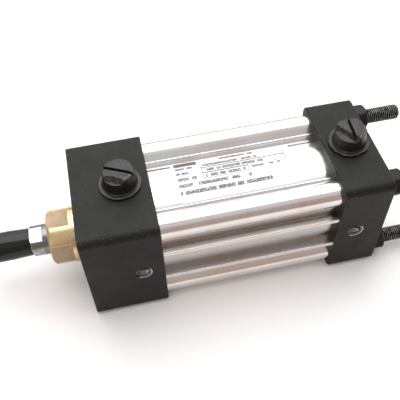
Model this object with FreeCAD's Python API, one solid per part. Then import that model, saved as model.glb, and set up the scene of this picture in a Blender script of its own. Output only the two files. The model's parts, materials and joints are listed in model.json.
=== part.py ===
import FreeCAD, Part

# Tie-rod pneumatic cylinder, 2 in bore by 2 in stroke, rod fully in.
#
# Millimetres.  X runs along the bore, from the rod end to the cap end; the front
# face of the head is x = 0 and the rod points to -X.  Z is up, towards the
# ports.  The cushion needles are on the -Y face.  The origin is the centre of
# the head's front face.

import math
import os
from FreeCAD import Vector

# ---- driving dimensions -------------------------------------------------------
BORE = 50.8                  # bore diameter
STROKE = 50.8
HEAD_MARGIN = 6.35           # head's side face beyond the bore
HEAD_LEN = 38.1
CAP_LEN = 25.4
STROKE_ALLOWANCE = 38.1      # barrel length beyond the stroke
BLOCK_FILLET = 3.8           # long edges of head and cap
BLOCK_CHAMFER = 0.4          # end edges of head and cap
ROD_DIA = 15.875
TUBE_WALL = 1.6              # barrel wall over the round part of the bore

# tie rods and nuts
TIE_DIA = 7.94
TIE_EDGE = 4.41              # metal between a tie rod and the side face
TIE_EXTENSION = 25.4         # past the rear face of the cap
TIE_ENGAGEMENT = 19.0        # thread length held in the head
TIE_TAP_SPARE = 2.0          # tapped hole beyond the rod's end
TIE_HOLE_GAP = 0.3           # radial, in barrel and cap
TIE_SHANK_STEP = 0.25        # shank and engaged thread below the free thread, radial
TIE_POINT = 0.8              # chamfer at the free end
NUT_WALL = 2.38              # nut flat beyond the tie rod
NUT_THICK = 6.75

# barrel extrusion
LOBE_WALL = 2.38             # round corner lobe about each tie rod
LIP_OUT = 1.3                # small lip on both flanks of a lobe
LIP_HEIGHT = 1.5
LIP_ROUND = 0.375
LIP_FROM_TIE = 3.4           # lip's outer side, measured back from the tie rod
RIB_CENTRE = 10.0            # sensor ribs, height above and below the axis
RIB_WIDTH = 2.4
RIB_SHORT_OF_SQUARE = 0.85   # rib tip inside the side face of the head
RIB_ROUND = 0.6
LABEL_START = 12.0           # gap from the head to the label
LABEL_END = 14.9             # gap from the label to the cap
LABEL_SIDE_GAP = 0.25        # label edge inside the line of the lips
LABEL_THICK = 0.15
LABEL_GAP = 0.02

# ends of the bore
SPIGOT_LEN = 5.0
SPIGOT_GAP = 0.05            # radial, spigot in bore
END_GAP = 0.5                # piston to spigot at each end of the stroke
TUBE_SEAL_WIDTH = 3.0
TUBE_SEAL_DEPTH = 2.3

# cushions
CUSHION_WALL = 4.0625        # cushion's radius beyond the rod's
CHAMBER_GAP = 1.5            # radial, cushion in its chamber
CHAMBER_LEN = 19.6           # in the head, without the spigot
CUSHION_END_GAP = 6.1        # sleeve to the chamber's floor, rod fully out
SPEAR_END_GAP = 4.5          # spear to the chamber's floor, rod fully in
CUSHION_SEAL_STEP = 2.0      # seal's seat beyond the chamber, radial
CUSHION_SEAL_LEN = 3.9
CUSHION_RING_LEN = 2.5
CUSHION_RING_GAP = 0.6       # ring bore to cushion, radial
CUSHION_SEAL_RECESS = 0.5    # ring below the spigot's end
CHAMBER_FLOOR = 7.4          # cap wall behind the chamber
CUSHION_NOSE = 1.5           # lead-in chamfer

# rod gland
GLAND_WALL = 6.35            # gland's radius beyond the rod's
GLAND_OUT = 15.875           # in front of the head
GLAND_FLAT_CUT = 1.5875      # depth of each wrench flat below the collar
GLAND_FLAT_TURN = -6.7       # degrees, flats turned from square
GLAND_COLLAR = 4.6           # full round next to the head
GLAND_WRENCH_STEP = 0.25     # wrench end's radius below the collar's
GLAND_SEAT_DEPTH = 1.0       # seat sunk in the head's face
GLAND_SEAT_STEP = 0.25       # seat's radius below the collar's
GLAND_CHAMFER = 1.4
GLAND_THREAD_STEP = 1.1875   # thread's radius below the gland's
GLAND_NOSE_WALL = 3.0625     # nose's radius beyond the rod's
GLAND_NOSE_LEN = 6.0
GLAND_SEAL_WIDTH = 2.6
GLAND_SEAL_DEPTH = 2.0
HEAD_LAND = 2.5              # head wall between gland and chamber
HEAD_LAND_GAP = 0.3          # radial, rod through that wall
WIPER_LEN = 3.6
WIPER_LIP = 0.8
WIPER_RECESS = 0.2           # wiper's tip behind the gland's front
WIPER_DEPTH = 3.2
ROD_SEAL_LEN = 4.6
ROD_SEAL_DEPTH = 3.4
ROD_SEAL_BEHIND_WIPER = 9.0

# rod
ROD_SHOULDER_OUT = 25.4      # shoulder in front of the head
ROD_FLAT_CUT = 1.1375        # depth of each wrench flat
ROD_FLAT_LEN = 6.2
ROD_FLAT_TURN = 12.0         # degrees, flats turned from square
ROD_CHAMFER = 0.5
ROD_RIM = 1.5875             # rod's radius beyond the stud's
STUD_OUT = 19.05
STUD_IN = 18.0
STUD_TAP_SPARE = 1.0         # tapped hole beyond the stud's end
STUD_CHAMFER = 1.0
NECK_STEP = 1.1375           # neck for the cushion sleeve, radial
PISTON_SEAT_STEP = 0.45      # piston's stud below the neck, radial
SPEAR_CROWN = 5.0            # solid end of the spear beyond its thread
SPEAR_TAP_SPARE = 1.0

# piston
PISTON_GAP = 0.15            # radial, piston in bore
SEAL_GAP = 0.05              # radial, sliding seals to what they run on
SEAT_GAP = 0.05              # radial or axial, seals in their grooves
SEAL_EDGE_SHARE = 0.3        # edge round of a seal, of its smaller side
PISTON_LAND = 2.0
PISTON_INNER_LAND = 1.7
PISTON_SEAL_WIDTH = 4.5
PISTON_SEAL_DEPTH = 4.2
MAGNET_WIDTH = 4.2
MAGNET_DEPTH = 3.6
WEAR_DEPTH = 1.5
CUP_MOUTH = 0.8              # width of a cup seal's open groove
CUP_DEPTH = 2.7
PISTON_O_RING_SECTION = 2.45 # seat beyond the piston's stud, radial
PISTON_O_RING_WIDTH = 2.2

# ports and shipping plugs
PORT_IN_CHAMBER = 5.5        # head port, from the chamber's floor
PORT_DIA = 17.1              # 3/8 taper thread at the mouth
PORT_DEPTH = 12.0
PORT_TAPER = 16.0            # diameter loses 1 in 16
PORT_DRILL_DIA = 9.5
PLUG_FLANGE_RIM = 1.85       # flange beyond the port, radial
PLUG_FLANGE_THICK = 1.5
PLUG_STEM_LEN = 9.0
PLUG_GAP = 0.08              # radial and axial, plug in port
PLUG_STUB_STEP = 0.25        # stub's foot inside the port, radial
PLUG_STUB_TAPER = 1.1        # stub's radius lost by its top
PLUG_STUB_HEIGHT = 10.5
PLUG_SLOT_WIDTH = 1.5
PLUG_SLOT_DEPTH = 3.2
PLUG_WALL = 2.7              # about the hollow in the stem
PLUG_TURNS = {"head": -27.0, "cap": 86.0}    # slot direction, degrees from X

# cushion needles
HEAD_NEEDLE_IN = 10.7        # from the inner face of the head
CAP_NEEDLE_IN = 9.9          # from the inner face of the cap
NEEDLE_DIA = 7.8
NEEDLE_GAP = 0.06            # radial, needle in its hole
NEEDLE_RECESS = 2.8
NEEDLE_CHAMFER = 0.4
NEEDLE_STEM_STEP = 1.0       # stem below the thread, radial
NEEDLE_STEM_LEN = 4.2
NEEDLE_SEAL_WIDTH = 2.0
NEEDLE_SEAL_DEPTH = 1.0
NEEDLE_SEAL_BEHIND_THREAD = 0.5
NEEDLE_TIP_DIA = 3.0
NEEDLE_TIP_END_DIA = 1.0
NEEDLE_SLOT_WIDTH = 1.2
NEEDLE_SLOT_DEPTH = 1.4
NEEDLE_SLOT_TURN = 35.0      # degrees
NEEDLE_RING_DEPTH = 0.6      # ring below the face
NEEDLE_RING_THICK = 0.6
NEEDLE_RING_COVER = 0.9      # ring's bore inside the screw, radial
NEEDLE_RING_GRIP = 0.7       # ring's groove beyond the screw, radial
PASSAGE_DIA = 3.0            # bypass hole from the bore to the needle
PASSAGE_WALL = 0.8           # between that hole and the cushion seal

# thread protector
PROTECTOR_TIP = 11.25        # solid end beyond the hollow
PROTECTOR_MOUTH_WALL = 0.75
PROTECTOR_WALL = 1.55
PROTECTOR_FLARE_LEN = 12.0
PROTECTOR_BORE_GAP = 0.1
PROTECTOR_CLEAR = 0.3        # mouth to rod shoulder
PROTECTOR_FLOOR_GAP = 1.0
PROTECTOR_ROUND = 3.0

CUT_OVER = 1.0               # how far a cutting shape runs past its face
ON_PLANE = 1e-6              # tolerance when edges are picked by their place

# ---- derived sizes ------------------------------------------------------------
HEAD_SQUARE = BORE + 2 * HEAD_MARGIN
ROD_R = ROD_DIA / 2
TIE_HOLE_R = TIE_DIA / 2 + TIE_HOLE_GAP
TIE_SHANK_R = TIE_DIA / 2 - TIE_SHANK_STEP
NUT_AF = TIE_DIA + 2 * NUT_WALL
LOBE_RADIUS = TIE_DIA / 2 + LOBE_WALL
TUBE_RADIUS = BORE / 2 + TUBE_WALL
SPIGOT_R = BORE / 2 - SPIGOT_GAP
CUSHION_R = ROD_R + CUSHION_WALL
CUSHION_LEN = CHAMBER_LEN + SPIGOT_LEN + END_GAP - CUSHION_END_GAP
CHAMBER_R = CUSHION_R + CHAMBER_GAP
CUSHION_SEAL_R = CHAMBER_R + CUSHION_SEAL_STEP
PASSAGE_RADIUS = CUSHION_SEAL_R + PASSAGE_WALL + PASSAGE_DIA / 2
GLAND_R = ROD_R + GLAND_WALL
GLAND_THREAD_R = GLAND_R - GLAND_THREAD_STEP
GLAND_NOSE_R = ROD_R + GLAND_NOSE_WALL
STUD_R = ROD_R - ROD_RIM
NECK_R = ROD_R - NECK_STEP
PISTON_STUD_R = NECK_R - PISTON_SEAT_STEP
PISTON_O_RING_R = PISTON_STUD_R + PISTON_O_RING_SECTION
NEEDLE_STEM_R = NEEDLE_DIA / 2 - NEEDLE_STEM_STEP
NEEDLE_RING_R = NEEDLE_DIA / 2 + NEEDLE_RING_GRIP

# ---- derived places -----------------------------------------------------------
HALF = HEAD_SQUARE / 2
BARREL_LEN = STROKE + STROKE_ALLOWANCE
BARREL_X0 = HEAD_LEN
CAP_X0 = BARREL_X0 + BARREL_LEN
CAP_X1 = CAP_X0 + CAP_LEN
TIE_R = HALF - TIE_EDGE - TIE_DIA / 2
HEAD_SPIGOT_X = HEAD_LEN + SPIGOT_LEN
CAP_SPIGOT_X = CAP_X0 - SPIGOT_LEN
PISTON_X1 = CAP_SPIGOT_X - END_GAP
PISTON_X0 = HEAD_SPIGOT_X + END_GAP + STROKE
CHAMBER_X0 = HEAD_LEN - CHAMBER_LEN
GLAND_END = CHAMBER_X0 - HEAD_LAND
GLAND_THREAD_LEN = GLAND_END - GLAND_NOSE_LEN
CAP_CHAMBER_X1 = CAP_X1 - CHAMBER_FLOOR
HEAD_PORT_X = CHAMBER_X0 + PORT_IN_CHAMBER
CAP_PORT_X = CAP_X0 + CAP_LEN / 2
HEAD_NEEDLE_X = HEAD_LEN - HEAD_NEEDLE_IN
CAP_NEEDLE_X = CAP_X0 + CAP_NEEDLE_IN
NEEDLE_STEM_END = HALF - PASSAGE_RADIUS
NEEDLE_THREAD_END = NEEDLE_STEM_END - NEEDLE_STEM_LEN
NEEDLE_SEAL_AT = NEEDLE_THREAD_END + NEEDLE_SEAL_BEHIND_THREAD
SPEAR_X1 = CAP_CHAMBER_X1 - SPEAR_END_GAP
SPEAR_THREAD_X1 = SPEAR_X1 - SPEAR_CROWN
SLEEVE_X0 = PISTON_X0 - CUSHION_LEN
TIE_CORNERS = ((-TIE_R, TIE_R), (TIE_R, TIE_R), (-TIE_R, -TIE_R), (TIE_R, -TIE_R))

X_AXIS = Vector(1, 0, 0)
ORIGIN = Vector(0, 0, 0)


# ---- helpers ------------------------------------------------------------------
def cyl_x(x0, x1, radius, y=0.0, z=0.0):
    """Round bar along X."""
    return Part.makeCylinder(radius, x1 - x0, Vector(x0, y, z), X_AXIS)


def tube_x(x0, x1, inner, outer):
    """Plain ring along X."""
    return cyl_x(x0, x1, outer).cut(cyl_x(x0, x1, inner))


def turned_x(profile):
    """Solid turned about X from (x, radius) points, closed along the axis."""
    points = [Vector(x, 0, r) for x, r in profile]
    wire = Part.makePolygon(points + points[:1])
    return Part.Face(wire).revolve(ORIGIN, X_AXIS, 360)


def soft_ring_x(x0, x1, inner, outer):
    """Seal ring along X with rounded edges."""
    ring = tube_x(x0, x1, inner, outer)
    edge_round = SEAL_EDGE_SHARE * min(x1 - x0, outer - inner)
    circles = [e for e in ring.Edges if e.Closed and abs(e.Curve.Axis.x) > 0.9]
    return ring.makeFillet(edge_round, circles)


def bar(x0, x1, y0, y1, z0, z1):
    """Rectangular bar between corners."""
    return Part.makeBox(x1 - x0, y1 - y0, z1 - z0, Vector(x0, y0, z0))


def turn_x(shape, degrees):
    """Copy of a shape turned about the X axis."""
    turned = shape.copy()
    turned.rotate(ORIGIN, X_AXIS, degrees)
    return turned


def along(shape_at_origin, place, axis):
    """Move a shape built along +Z from the origin to a place and direction."""
    moved = shape_at_origin.copy()
    moved.Placement = FreeCAD.Placement(place, FreeCAD.Rotation(Vector(0, 0, 1), axis))
    return moved


def turned_z(profile):
    """Solid turned about Z from (radius, z) points, closed along the axis."""
    points = [Vector(r, 0, z) for r, z in profile]
    wire = Part.makePolygon(points + points[:1])
    return Part.Face(wire).revolve(ORIGIN, Vector(0, 0, 1), 360)


def save(node, shape):
    """Write one sub-part as a STEP file."""
    solid = shape.Solids[0] if len(shape.Solids) == 1 else shape
    solid.exportStep("parts/%s.step" % node)
    print("%-26s %2d solid(s) %10.1f mm3" % (node, len(shape.Solids), shape.Volume))


# ---- head and cap -------------------------------------------------------------
def block(x0, x1):
    """Square block with filleted long edges and chamfered end edges."""
    body = bar(x0, x1, -HALF, HALF, -HALF, HALF)
    long_edges = [e for e in body.Edges if abs(e.tangentAt(e.FirstParameter).x) > 0.9]
    body = body.makeFillet(BLOCK_FILLET, long_edges)
    ends = [e for e in body.Edges if e.BoundBox.XLength < ON_PLANE]
    return body.makeChamfer(BLOCK_CHAMFER, ends)


def port_cut(x):
    """Tapered port from the top face, then a drilling into the chamber."""
    mouth = PORT_DIA / 2
    floor = mouth - PORT_DEPTH / PORT_TAPER / 2
    top = Vector(x, 0, HALF)
    cone = Part.makeCone(mouth, floor, PORT_DEPTH, top, Vector(0, 0, -1))
    drill_len = HALF - CHAMBER_R / 2
    drill = Part.makeCylinder(PORT_DRILL_DIA / 2, drill_len, top, Vector(0, 0, -1))
    return cone.fuse(drill)


def needle_place(x):
    """Point on the -Y face where a needle's hole starts."""
    return Vector(x, -HALF, 0)


def needle_cut(x):
    """Stepped hole for a cushion needle, with its retaining groove."""
    hole = NEEDLE_DIA / 2 + NEEDLE_GAP
    stem = NEEDLE_STEM_R + NEEDLE_GAP
    seat = NEEDLE_TIP_DIA / 2 + NEEDLE_GAP
    thread_end = NEEDLE_THREAD_END + NEEDLE_GAP
    stem_end = NEEDLE_STEM_END + NEEDLE_GAP
    seat_end = HALF - CHAMBER_R / 2
    steps = [(0, 0), (hole, 0), (hole, thread_end), (stem, thread_end), (stem, stem_end),
             (seat, stem_end), (seat, seat_end), (0, seat_end)]
    cut = turned_z(steps)
    groove_from = Vector(0, 0, NEEDLE_RING_DEPTH)
    groove = Part.makeCylinder(NEEDLE_RING_R, NEEDLE_RING_THICK, groove_from)
    return along(cut.fuse(groove), needle_place(x), Vector(0, 1, 0))


def passage_cut(x_mouth, x_needle):
    """Bypass hole from the bore to the needle's seat."""
    x0, x1 = sorted((x_mouth, x_needle))
    return cyl_x(x0, x1, PASSAGE_DIA / 2, -PASSAGE_RADIUS, 0)


def spigot(x_face, x_end):
    """Round spigot into the bore with a groove for the tube seal."""
    x0, x1 = sorted((x_face, x_end))
    middle = (x0 + x1) / 2
    groove = tube_x(middle - TUBE_SEAL_WIDTH / 2, middle + TUBE_SEAL_WIDTH / 2,
                    SPIGOT_R - TUBE_SEAL_DEPTH, SPIGOT_R + CUT_OVER)
    return cyl_x(x0, x1, SPIGOT_R).cut(groove)


def cushion_steps(x_end, inward):
    """Places along X of the cushion ring and seal behind a spigot's end."""
    ring_a = x_end + inward * CUSHION_SEAL_RECESS
    ring_b = ring_a + inward * CUSHION_RING_LEN
    seal_b = ring_b + inward * CUSHION_SEAL_LEN
    return ring_a, ring_b, seal_b


def make_head():
    """Rod-end head: gland seat, chamber, spigot, port, needle, tie-rod holes."""
    seal_end = cushion_steps(HEAD_SPIGOT_X, -1)[2]
    body = block(0, HEAD_LEN).fuse(spigot(HEAD_LEN, HEAD_SPIGOT_X))
    cuts = [
        cyl_x(0, GLAND_SEAT_DEPTH, GLAND_R + SEAT_GAP),
        cyl_x(0, GLAND_THREAD_LEN, GLAND_THREAD_R + SEAT_GAP),
        cyl_x(0, GLAND_END, GLAND_NOSE_R + SEAT_GAP),
        cyl_x(0, CHAMBER_X0, ROD_R + HEAD_LAND_GAP),
        cyl_x(CHAMBER_X0, HEAD_SPIGOT_X, CHAMBER_R),
        cyl_x(seal_end, HEAD_SPIGOT_X, CUSHION_SEAL_R),
        port_cut(HEAD_PORT_X),
        needle_cut(HEAD_NEEDLE_X),
        passage_cut(HEAD_SPIGOT_X, HEAD_NEEDLE_X),
    ]
    tap_x = HEAD_LEN - TIE_ENGAGEMENT - TIE_TAP_SPARE
    for y, z in TIE_CORNERS:
        cuts.append(cyl_x(tap_x, HEAD_LEN, TIE_SHANK_R + SEAT_GAP, y, z))
    return body.cut(cuts)


def make_cap():
    """Cap-end block: spigot, blind chamber, port, needle, tie-rod holes."""
    seal_end = cushion_steps(CAP_SPIGOT_X, 1)[2]
    body = block(CAP_X0, CAP_X1).fuse(spigot(CAP_X0, CAP_SPIGOT_X))
    cuts = [
        cyl_x(CAP_SPIGOT_X, CAP_CHAMBER_X1, CHAMBER_R),
        cyl_x(CAP_SPIGOT_X, seal_end, CUSHION_SEAL_R),
        port_cut(CAP_PORT_X),
        needle_cut(CAP_NEEDLE_X),
        passage_cut(CAP_SPIGOT_X, CAP_NEEDLE_X),
    ]
    for y, z in TIE_CORNERS:
        cuts.append(cyl_x(CAP_X0, CAP_X1, TIE_HOLE_R, y, z))
    return body.cut(cuts)


# ---- barrel -------------------------------------------------------------------
def lobe(y_sign, z_sign):
    """Corner tongue along the diagonal, round at the tie rod, with two lips."""
    reach = TIE_R * math.sqrt(2)
    x0, x1 = BARREL_X0, CAP_X0
    tongue = bar(x0, x1, 0, reach, -LOBE_RADIUS, LOBE_RADIUS)
    tongue = tongue.fuse(cyl_x(x0, x1, LOBE_RADIUS, reach, 0))
    lip_y1 = reach - LIP_FROM_TIE
    half = LOBE_RADIUS + LIP_OUT
    lips = bar(x0, x1, lip_y1 - LIP_HEIGHT, lip_y1, -half, half)
    lip_edges = [e for e in lips.Edges if abs(e.tangentAt(e.FirstParameter).x) > 0.9]
    lips = lips.makeFillet(LIP_ROUND, lip_edges)
    angle = math.degrees(math.atan2(z_sign, y_sign))
    return turn_x(tongue.fuse(lips), angle)


def rib(y_sign, z_sign):
    """Sensor rib standing out sideways, with a rounded tip."""
    root = BORE / 2 - TUBE_WALL
    tip = HALF - RIB_SHORT_OF_SQUARE
    z0 = RIB_CENTRE - RIB_WIDTH / 2
    blade = bar(BARREL_X0, CAP_X0, root, tip, z0, z0 + RIB_WIDTH)
    tips = [e for e in blade.Edges
            if abs(e.tangentAt(e.FirstParameter).x) > 0.9 and e.BoundBox.YMin > tip - ON_PLANE]
    blade = blade.makeFillet(RIB_ROUND, tips)
    if z_sign < 0:
        blade = blade.mirror(ORIGIN, Vector(0, 0, 1))
    if y_sign < 0:
        blade = blade.mirror(ORIGIN, Vector(0, 1, 0))
    return blade


def make_barrel():
    """Extruded barrel: round tube, four lobes over the tie rods, side ribs."""
    body = cyl_x(BARREL_X0, CAP_X0, TUBE_RADIUS)
    for y_sign in (-1, 1):
        for z_sign in (-1, 1):
            body = body.fuse(lobe(y_sign, z_sign))
            body = body.fuse(rib(y_sign, z_sign))
    holes = [cyl_x(BARREL_X0, CAP_X0, BORE / 2)]
    holes += [cyl_x(BARREL_X0, CAP_X0, TIE_HOLE_R, y, z) for y, z in TIE_CORNERS]
    return body.cut(holes).removeSplitter()


def make_label():
    """Thin label wrapped on the round top of the barrel."""
    x0 = BARREL_X0 + LABEL_START
    x1 = CAP_X0 - LABEL_END
    inner = TUBE_RADIUS + LABEL_GAP
    lip_line = (LOBE_RADIUS + LIP_OUT + LABEL_SIDE_GAP) / TUBE_RADIUS
    half_angle = 45 - math.degrees(math.asin(lip_line))
    sector = Part.makeCylinder(inner + LABEL_THICK, x1 - x0, Vector(x0, 0, 0), X_AXIS, 2 * half_angle)
    sector = sector.cut(cyl_x(x0, x1, inner))
    middle = sector.Solids[0].CenterOfMass
    turn = 90 - math.degrees(math.atan2(middle.z, middle.y))
    return turn_x(sector, turn)


# ---- tie rods -----------------------------------------------------------------
def make_tie_rod(y, z):
    """Tie rod from its blind hole in the head to its free thread past the nut."""
    x0 = HEAD_LEN - TIE_ENGAGEMENT
    nut_x = CAP_X1 + NUT_THICK + SEAT_GAP
    x1 = CAP_X1 + TIE_EXTENSION
    r = TIE_DIA / 2
    rod = turned_x([(x0, 0), (x0, TIE_SHANK_R), (nut_x, TIE_SHANK_R), (nut_x, r),
                    (x1 - TIE_POINT, r), (x1, r - TIE_POINT), (x1, 0)])
    return rod.translated(Vector(0, y, z))


def make_nut(y, z):
    """Hexagon nut against the cap, corners chamfered on the outer side."""
    corner = NUT_AF / math.sqrt(3)
    points = []
    for i in range(7):
        angle = math.radians(60 * i)
        points.append(Vector(CAP_X1, y + corner * math.cos(angle), z + corner * math.sin(angle)))
    prism = Part.Face(Part.makePolygon(points)).extrude(Vector(NUT_THICK, 0, 0))
    bevel = corner - NUT_AF / 2
    x1 = CAP_X1 + NUT_THICK
    cone = turned_x([(CAP_X1, 0), (CAP_X1, corner), (x1 - bevel, corner), (x1, NUT_AF / 2), (x1, 0)])
    nut = prism.common(cone.translated(Vector(0, y, z)))
    return nut.cut(cyl_x(CAP_X1, x1, TIE_SHANK_R + SEAT_GAP, y, z))


# ---- gland --------------------------------------------------------------------
def gland_seal_x():
    """Start of the wiper and rod-seal grooves and of the gland's own seal."""
    wiper = -GLAND_OUT + GLAND_CHAMFER
    o_ring = GLAND_THREAD_LEN + (GLAND_NOSE_LEN - GLAND_SEAL_WIDTH) / 2
    return wiper, wiper + ROD_SEAL_BEHIND_WIPER, o_ring


def make_gland():
    """Bronze rod gland: four wrench flats, collar, seat, thread and sealed nose."""
    wrench_r = GLAND_R - GLAND_WRENCH_STEP
    seat_r = GLAND_R - GLAND_SEAT_STEP
    nose_end = GLAND_END - SEAT_GAP
    thread_end = GLAND_THREAD_LEN - SEAT_GAP
    body = turned_x([
        (-GLAND_OUT, 0), (-GLAND_OUT, wrench_r - GLAND_CHAMFER), (-GLAND_OUT + GLAND_CHAMFER, wrench_r),
        (-GLAND_COLLAR, wrench_r), (-GLAND_COLLAR, GLAND_R), (0, GLAND_R),
        (0, seat_r), (GLAND_SEAT_DEPTH, seat_r),
        (GLAND_SEAT_DEPTH, GLAND_THREAD_R), (thread_end, GLAND_THREAD_R),
        (thread_end, GLAND_NOSE_R), (nose_end, GLAND_NOSE_R), (nose_end, 0)])
    side = GLAND_R + CUT_OVER
    flat = bar(-GLAND_OUT - CUT_OVER, -GLAND_COLLAR, -side, side, GLAND_R - GLAND_FLAT_CUT, side)
    wiper_x, rod_seal_x, o_ring_x = gland_seal_x()
    cuts = [turn_x(flat, GLAND_FLAT_TURN + 90 * i) for i in range(4)]
    cuts += [
        cyl_x(-GLAND_OUT, nose_end, ROD_R + SEAL_GAP),
        cyl_x(-GLAND_OUT, wiper_x + WIPER_LEN, ROD_R + WIPER_DEPTH),
        cyl_x(rod_seal_x, rod_seal_x + ROD_SEAL_LEN, ROD_R + ROD_SEAL_DEPTH),
        tube_x(o_ring_x, o_ring_x + GLAND_SEAL_WIDTH, GLAND_NOSE_R - GLAND_SEAL_DEPTH,
               GLAND_NOSE_R + CUT_OVER),
    ]
    return body.cut(cuts)


def groove_ring(x0, width, inner, outer):
    """Seal ring that fills a groove with a small gap at its ends."""
    return soft_ring_x(x0 + SEAT_GAP, x0 + width - SEAT_GAP, inner, outer)


def make_wiper():
    """Rod wiper: ring with a lip that leans out along the rod."""
    x0 = -GLAND_OUT + WIPER_RECESS
    x1 = gland_seal_x()[0] + WIPER_LEN - SEAT_GAP
    inner = ROD_R + SEAL_GAP
    outer = ROD_R + WIPER_DEPTH - SEAT_GAP
    lip_x = x0 + 2 * WIPER_LIP
    lip_r = inner + WIPER_LIP
    return turned_x([(x0, inner), (x0, lip_r), (lip_x, outer), (x1, outer), (x1, lip_r),
                     (lip_x, lip_r)])


# ---- piston and rod -----------------------------------------------------------
def piston_grooves():
    """Start, width and depth of each groove, from the front of the piston."""
    seal_front = PISTON_X0 + PISTON_LAND
    magnet = seal_front + PISTON_SEAL_WIDTH + PISTON_LAND
    wear = magnet + MAGNET_WIDTH + PISTON_INNER_LAND
    seal_rear = PISTON_X1 - PISTON_LAND - PISTON_SEAL_WIDTH
    wear_width = seal_rear - PISTON_INNER_LAND - wear
    return {
        "seal_front": (seal_front, PISTON_SEAL_WIDTH, PISTON_SEAL_DEPTH),
        "magnet": (magnet, MAGNET_WIDTH, MAGNET_DEPTH),
        "wear": (wear, wear_width, WEAR_DEPTH),
        "seal_rear": (seal_rear, PISTON_SEAL_WIDTH, PISTON_SEAL_DEPTH),
    }


def make_piston():
    """Grooved piston on the rod's stud."""
    r = BORE / 2 - PISTON_GAP
    body = cyl_x(PISTON_X0, PISTON_X1, r)
    cuts = [tube_x(x0, x0 + width, r - depth, r + CUT_OVER)
            for x0, width, depth in piston_grooves().values()]
    cuts.append(cyl_x(PISTON_X0, PISTON_X1, PISTON_STUD_R + SEAT_GAP))
    cuts.append(cyl_x(PISTON_X0, PISTON_X0 + PISTON_O_RING_WIDTH, PISTON_O_RING_R))
    return body.cut(cuts)


def piston_ring(name, outer_gap):
    """Ring in a named piston groove, reaching to a gap from the bore."""
    x0, width, depth = piston_grooves()[name]
    floor = BORE / 2 - PISTON_GAP - depth + SEAT_GAP
    return groove_ring(x0, width, floor, BORE / 2 - outer_gap)


def cup_seal(name, faces_front):
    """Piston cup: a ring whose open groove faces the pressure."""
    x0, width, depth = piston_grooves()[name]
    ring = piston_ring(name, SEAL_GAP)
    middle = BORE / 2 - PISTON_GAP - depth / 2
    start = x0 if faces_front else x0 + width - CUP_DEPTH
    mouth = tube_x(start, start + CUP_DEPTH, middle - CUP_MOUTH / 2, middle + CUP_MOUTH / 2)
    return ring.cut(mouth)


def make_rod():
    """Piston rod: four wrench flats, stud hole, neck for the sleeve, rear stud."""
    front = -ROD_SHOULDER_OUT
    rear = SPEAR_THREAD_X1
    body = turned_x([
        (front, 0), (front, ROD_R - ROD_CHAMFER), (front + ROD_CHAMFER, ROD_R), (SLEEVE_X0, ROD_R),
        (SLEEVE_X0, NECK_R), (PISTON_X0, NECK_R),
        (PISTON_X0, PISTON_STUD_R), (rear, PISTON_STUD_R), (rear, 0)])
    flat = bar(front - CUT_OVER, front + ROD_FLAT_LEN, -ROD_R, ROD_R,
               ROD_R - ROD_FLAT_CUT, ROD_R + CUT_OVER)
    cuts = [turn_x(flat, ROD_FLAT_TURN + 90 * i) for i in range(4)]
    cuts.append(cyl_x(front, front + STUD_IN + STUD_TAP_SPARE, STUD_R + SEAT_GAP))
    return body.cut(cuts)


def make_rod_stud():
    """Threaded stud screwed into the front of the rod."""
    front = -ROD_SHOULDER_OUT
    r = STUD_R
    x0 = front - STUD_OUT
    x1 = front + STUD_IN
    return turned_x([(x0, 0), (x0, r - STUD_CHAMFER), (x0 + STUD_CHAMFER, r), (x1, r), (x1, 0)])


def make_sleeve():
    """Front cushion sleeve, held between the rod's shoulder and the piston."""
    r = CUSHION_R
    bore = NECK_R + SEAT_GAP
    return turned_x([(SLEEVE_X0, bore), (SLEEVE_X0, r - CUSHION_NOSE),
                     (SLEEVE_X0 + 2 * CUSHION_NOSE, r), (PISTON_X0, r), (PISTON_X0, bore)])


def make_spear():
    """Rear cushion spear, screwed on the rod's stud behind the piston."""
    r = CUSHION_R
    x1 = SPEAR_X1
    body = turned_x([(PISTON_X1, 0), (PISTON_X1, r), (x1 - 2 * CUSHION_NOSE, r),
                     (x1, r - CUSHION_NOSE), (x1, 0)])
    return body.cut(cyl_x(PISTON_X1, SPEAR_THREAD_X1 + SPEAR_TAP_SPARE, PISTON_STUD_R + SEAT_GAP))


def make_protector():
    """Closed plastic sleeve pushed over the stud, flared from its mouth."""
    x1 = -ROD_SHOULDER_OUT - PROTECTOR_CLEAR
    floor = -ROD_SHOULDER_OUT - STUD_OUT - PROTECTOR_FLOOR_GAP
    x0 = floor - PROTECTOR_TIP
    r = STUD_R + PROTECTOR_WALL
    body = turned_x([(x0, 0), (x0, r), (x1 - PROTECTOR_FLARE_LEN, r),
                     (x1, STUD_R + PROTECTOR_MOUTH_WALL), (x1, 0)])
    tip = [e for e in body.Edges if e.Closed and e.BoundBox.XMax < x0 + ON_PLANE]
    body = body.makeFillet(PROTECTOR_ROUND, tip)
    return body.cut(cyl_x(floor, x1, STUD_R + PROTECTOR_BORE_GAP))


# ---- cushion parts ------------------------------------------------------------
def cushion_parts(x_end, inward):
    """Retaining ring and cushion seal in one end."""
    ring_a, ring_b, seal_b = cushion_steps(x_end, inward)
    outer = CUSHION_SEAL_R - SEAT_GAP
    ring = tube_x(min(ring_a, ring_b), max(ring_a, ring_b), CUSHION_R + CUSHION_RING_GAP, outer)
    x0, x1 = sorted((ring_b, seal_b))
    seal = soft_ring_x(x0 + SEAT_GAP, x1 - SEAT_GAP, CUSHION_R + SEAL_GAP, outer)
    return ring, seal


def tube_seal(x_face, x_end):
    """Seal between a spigot and the bore."""
    middle = (x_face + x_end) / 2
    return groove_ring(middle - TUBE_SEAL_WIDTH / 2, TUBE_SEAL_WIDTH,
                       SPIGOT_R - TUBE_SEAL_DEPTH + SEAT_GAP, BORE / 2 - SEAT_GAP / 2)


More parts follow.
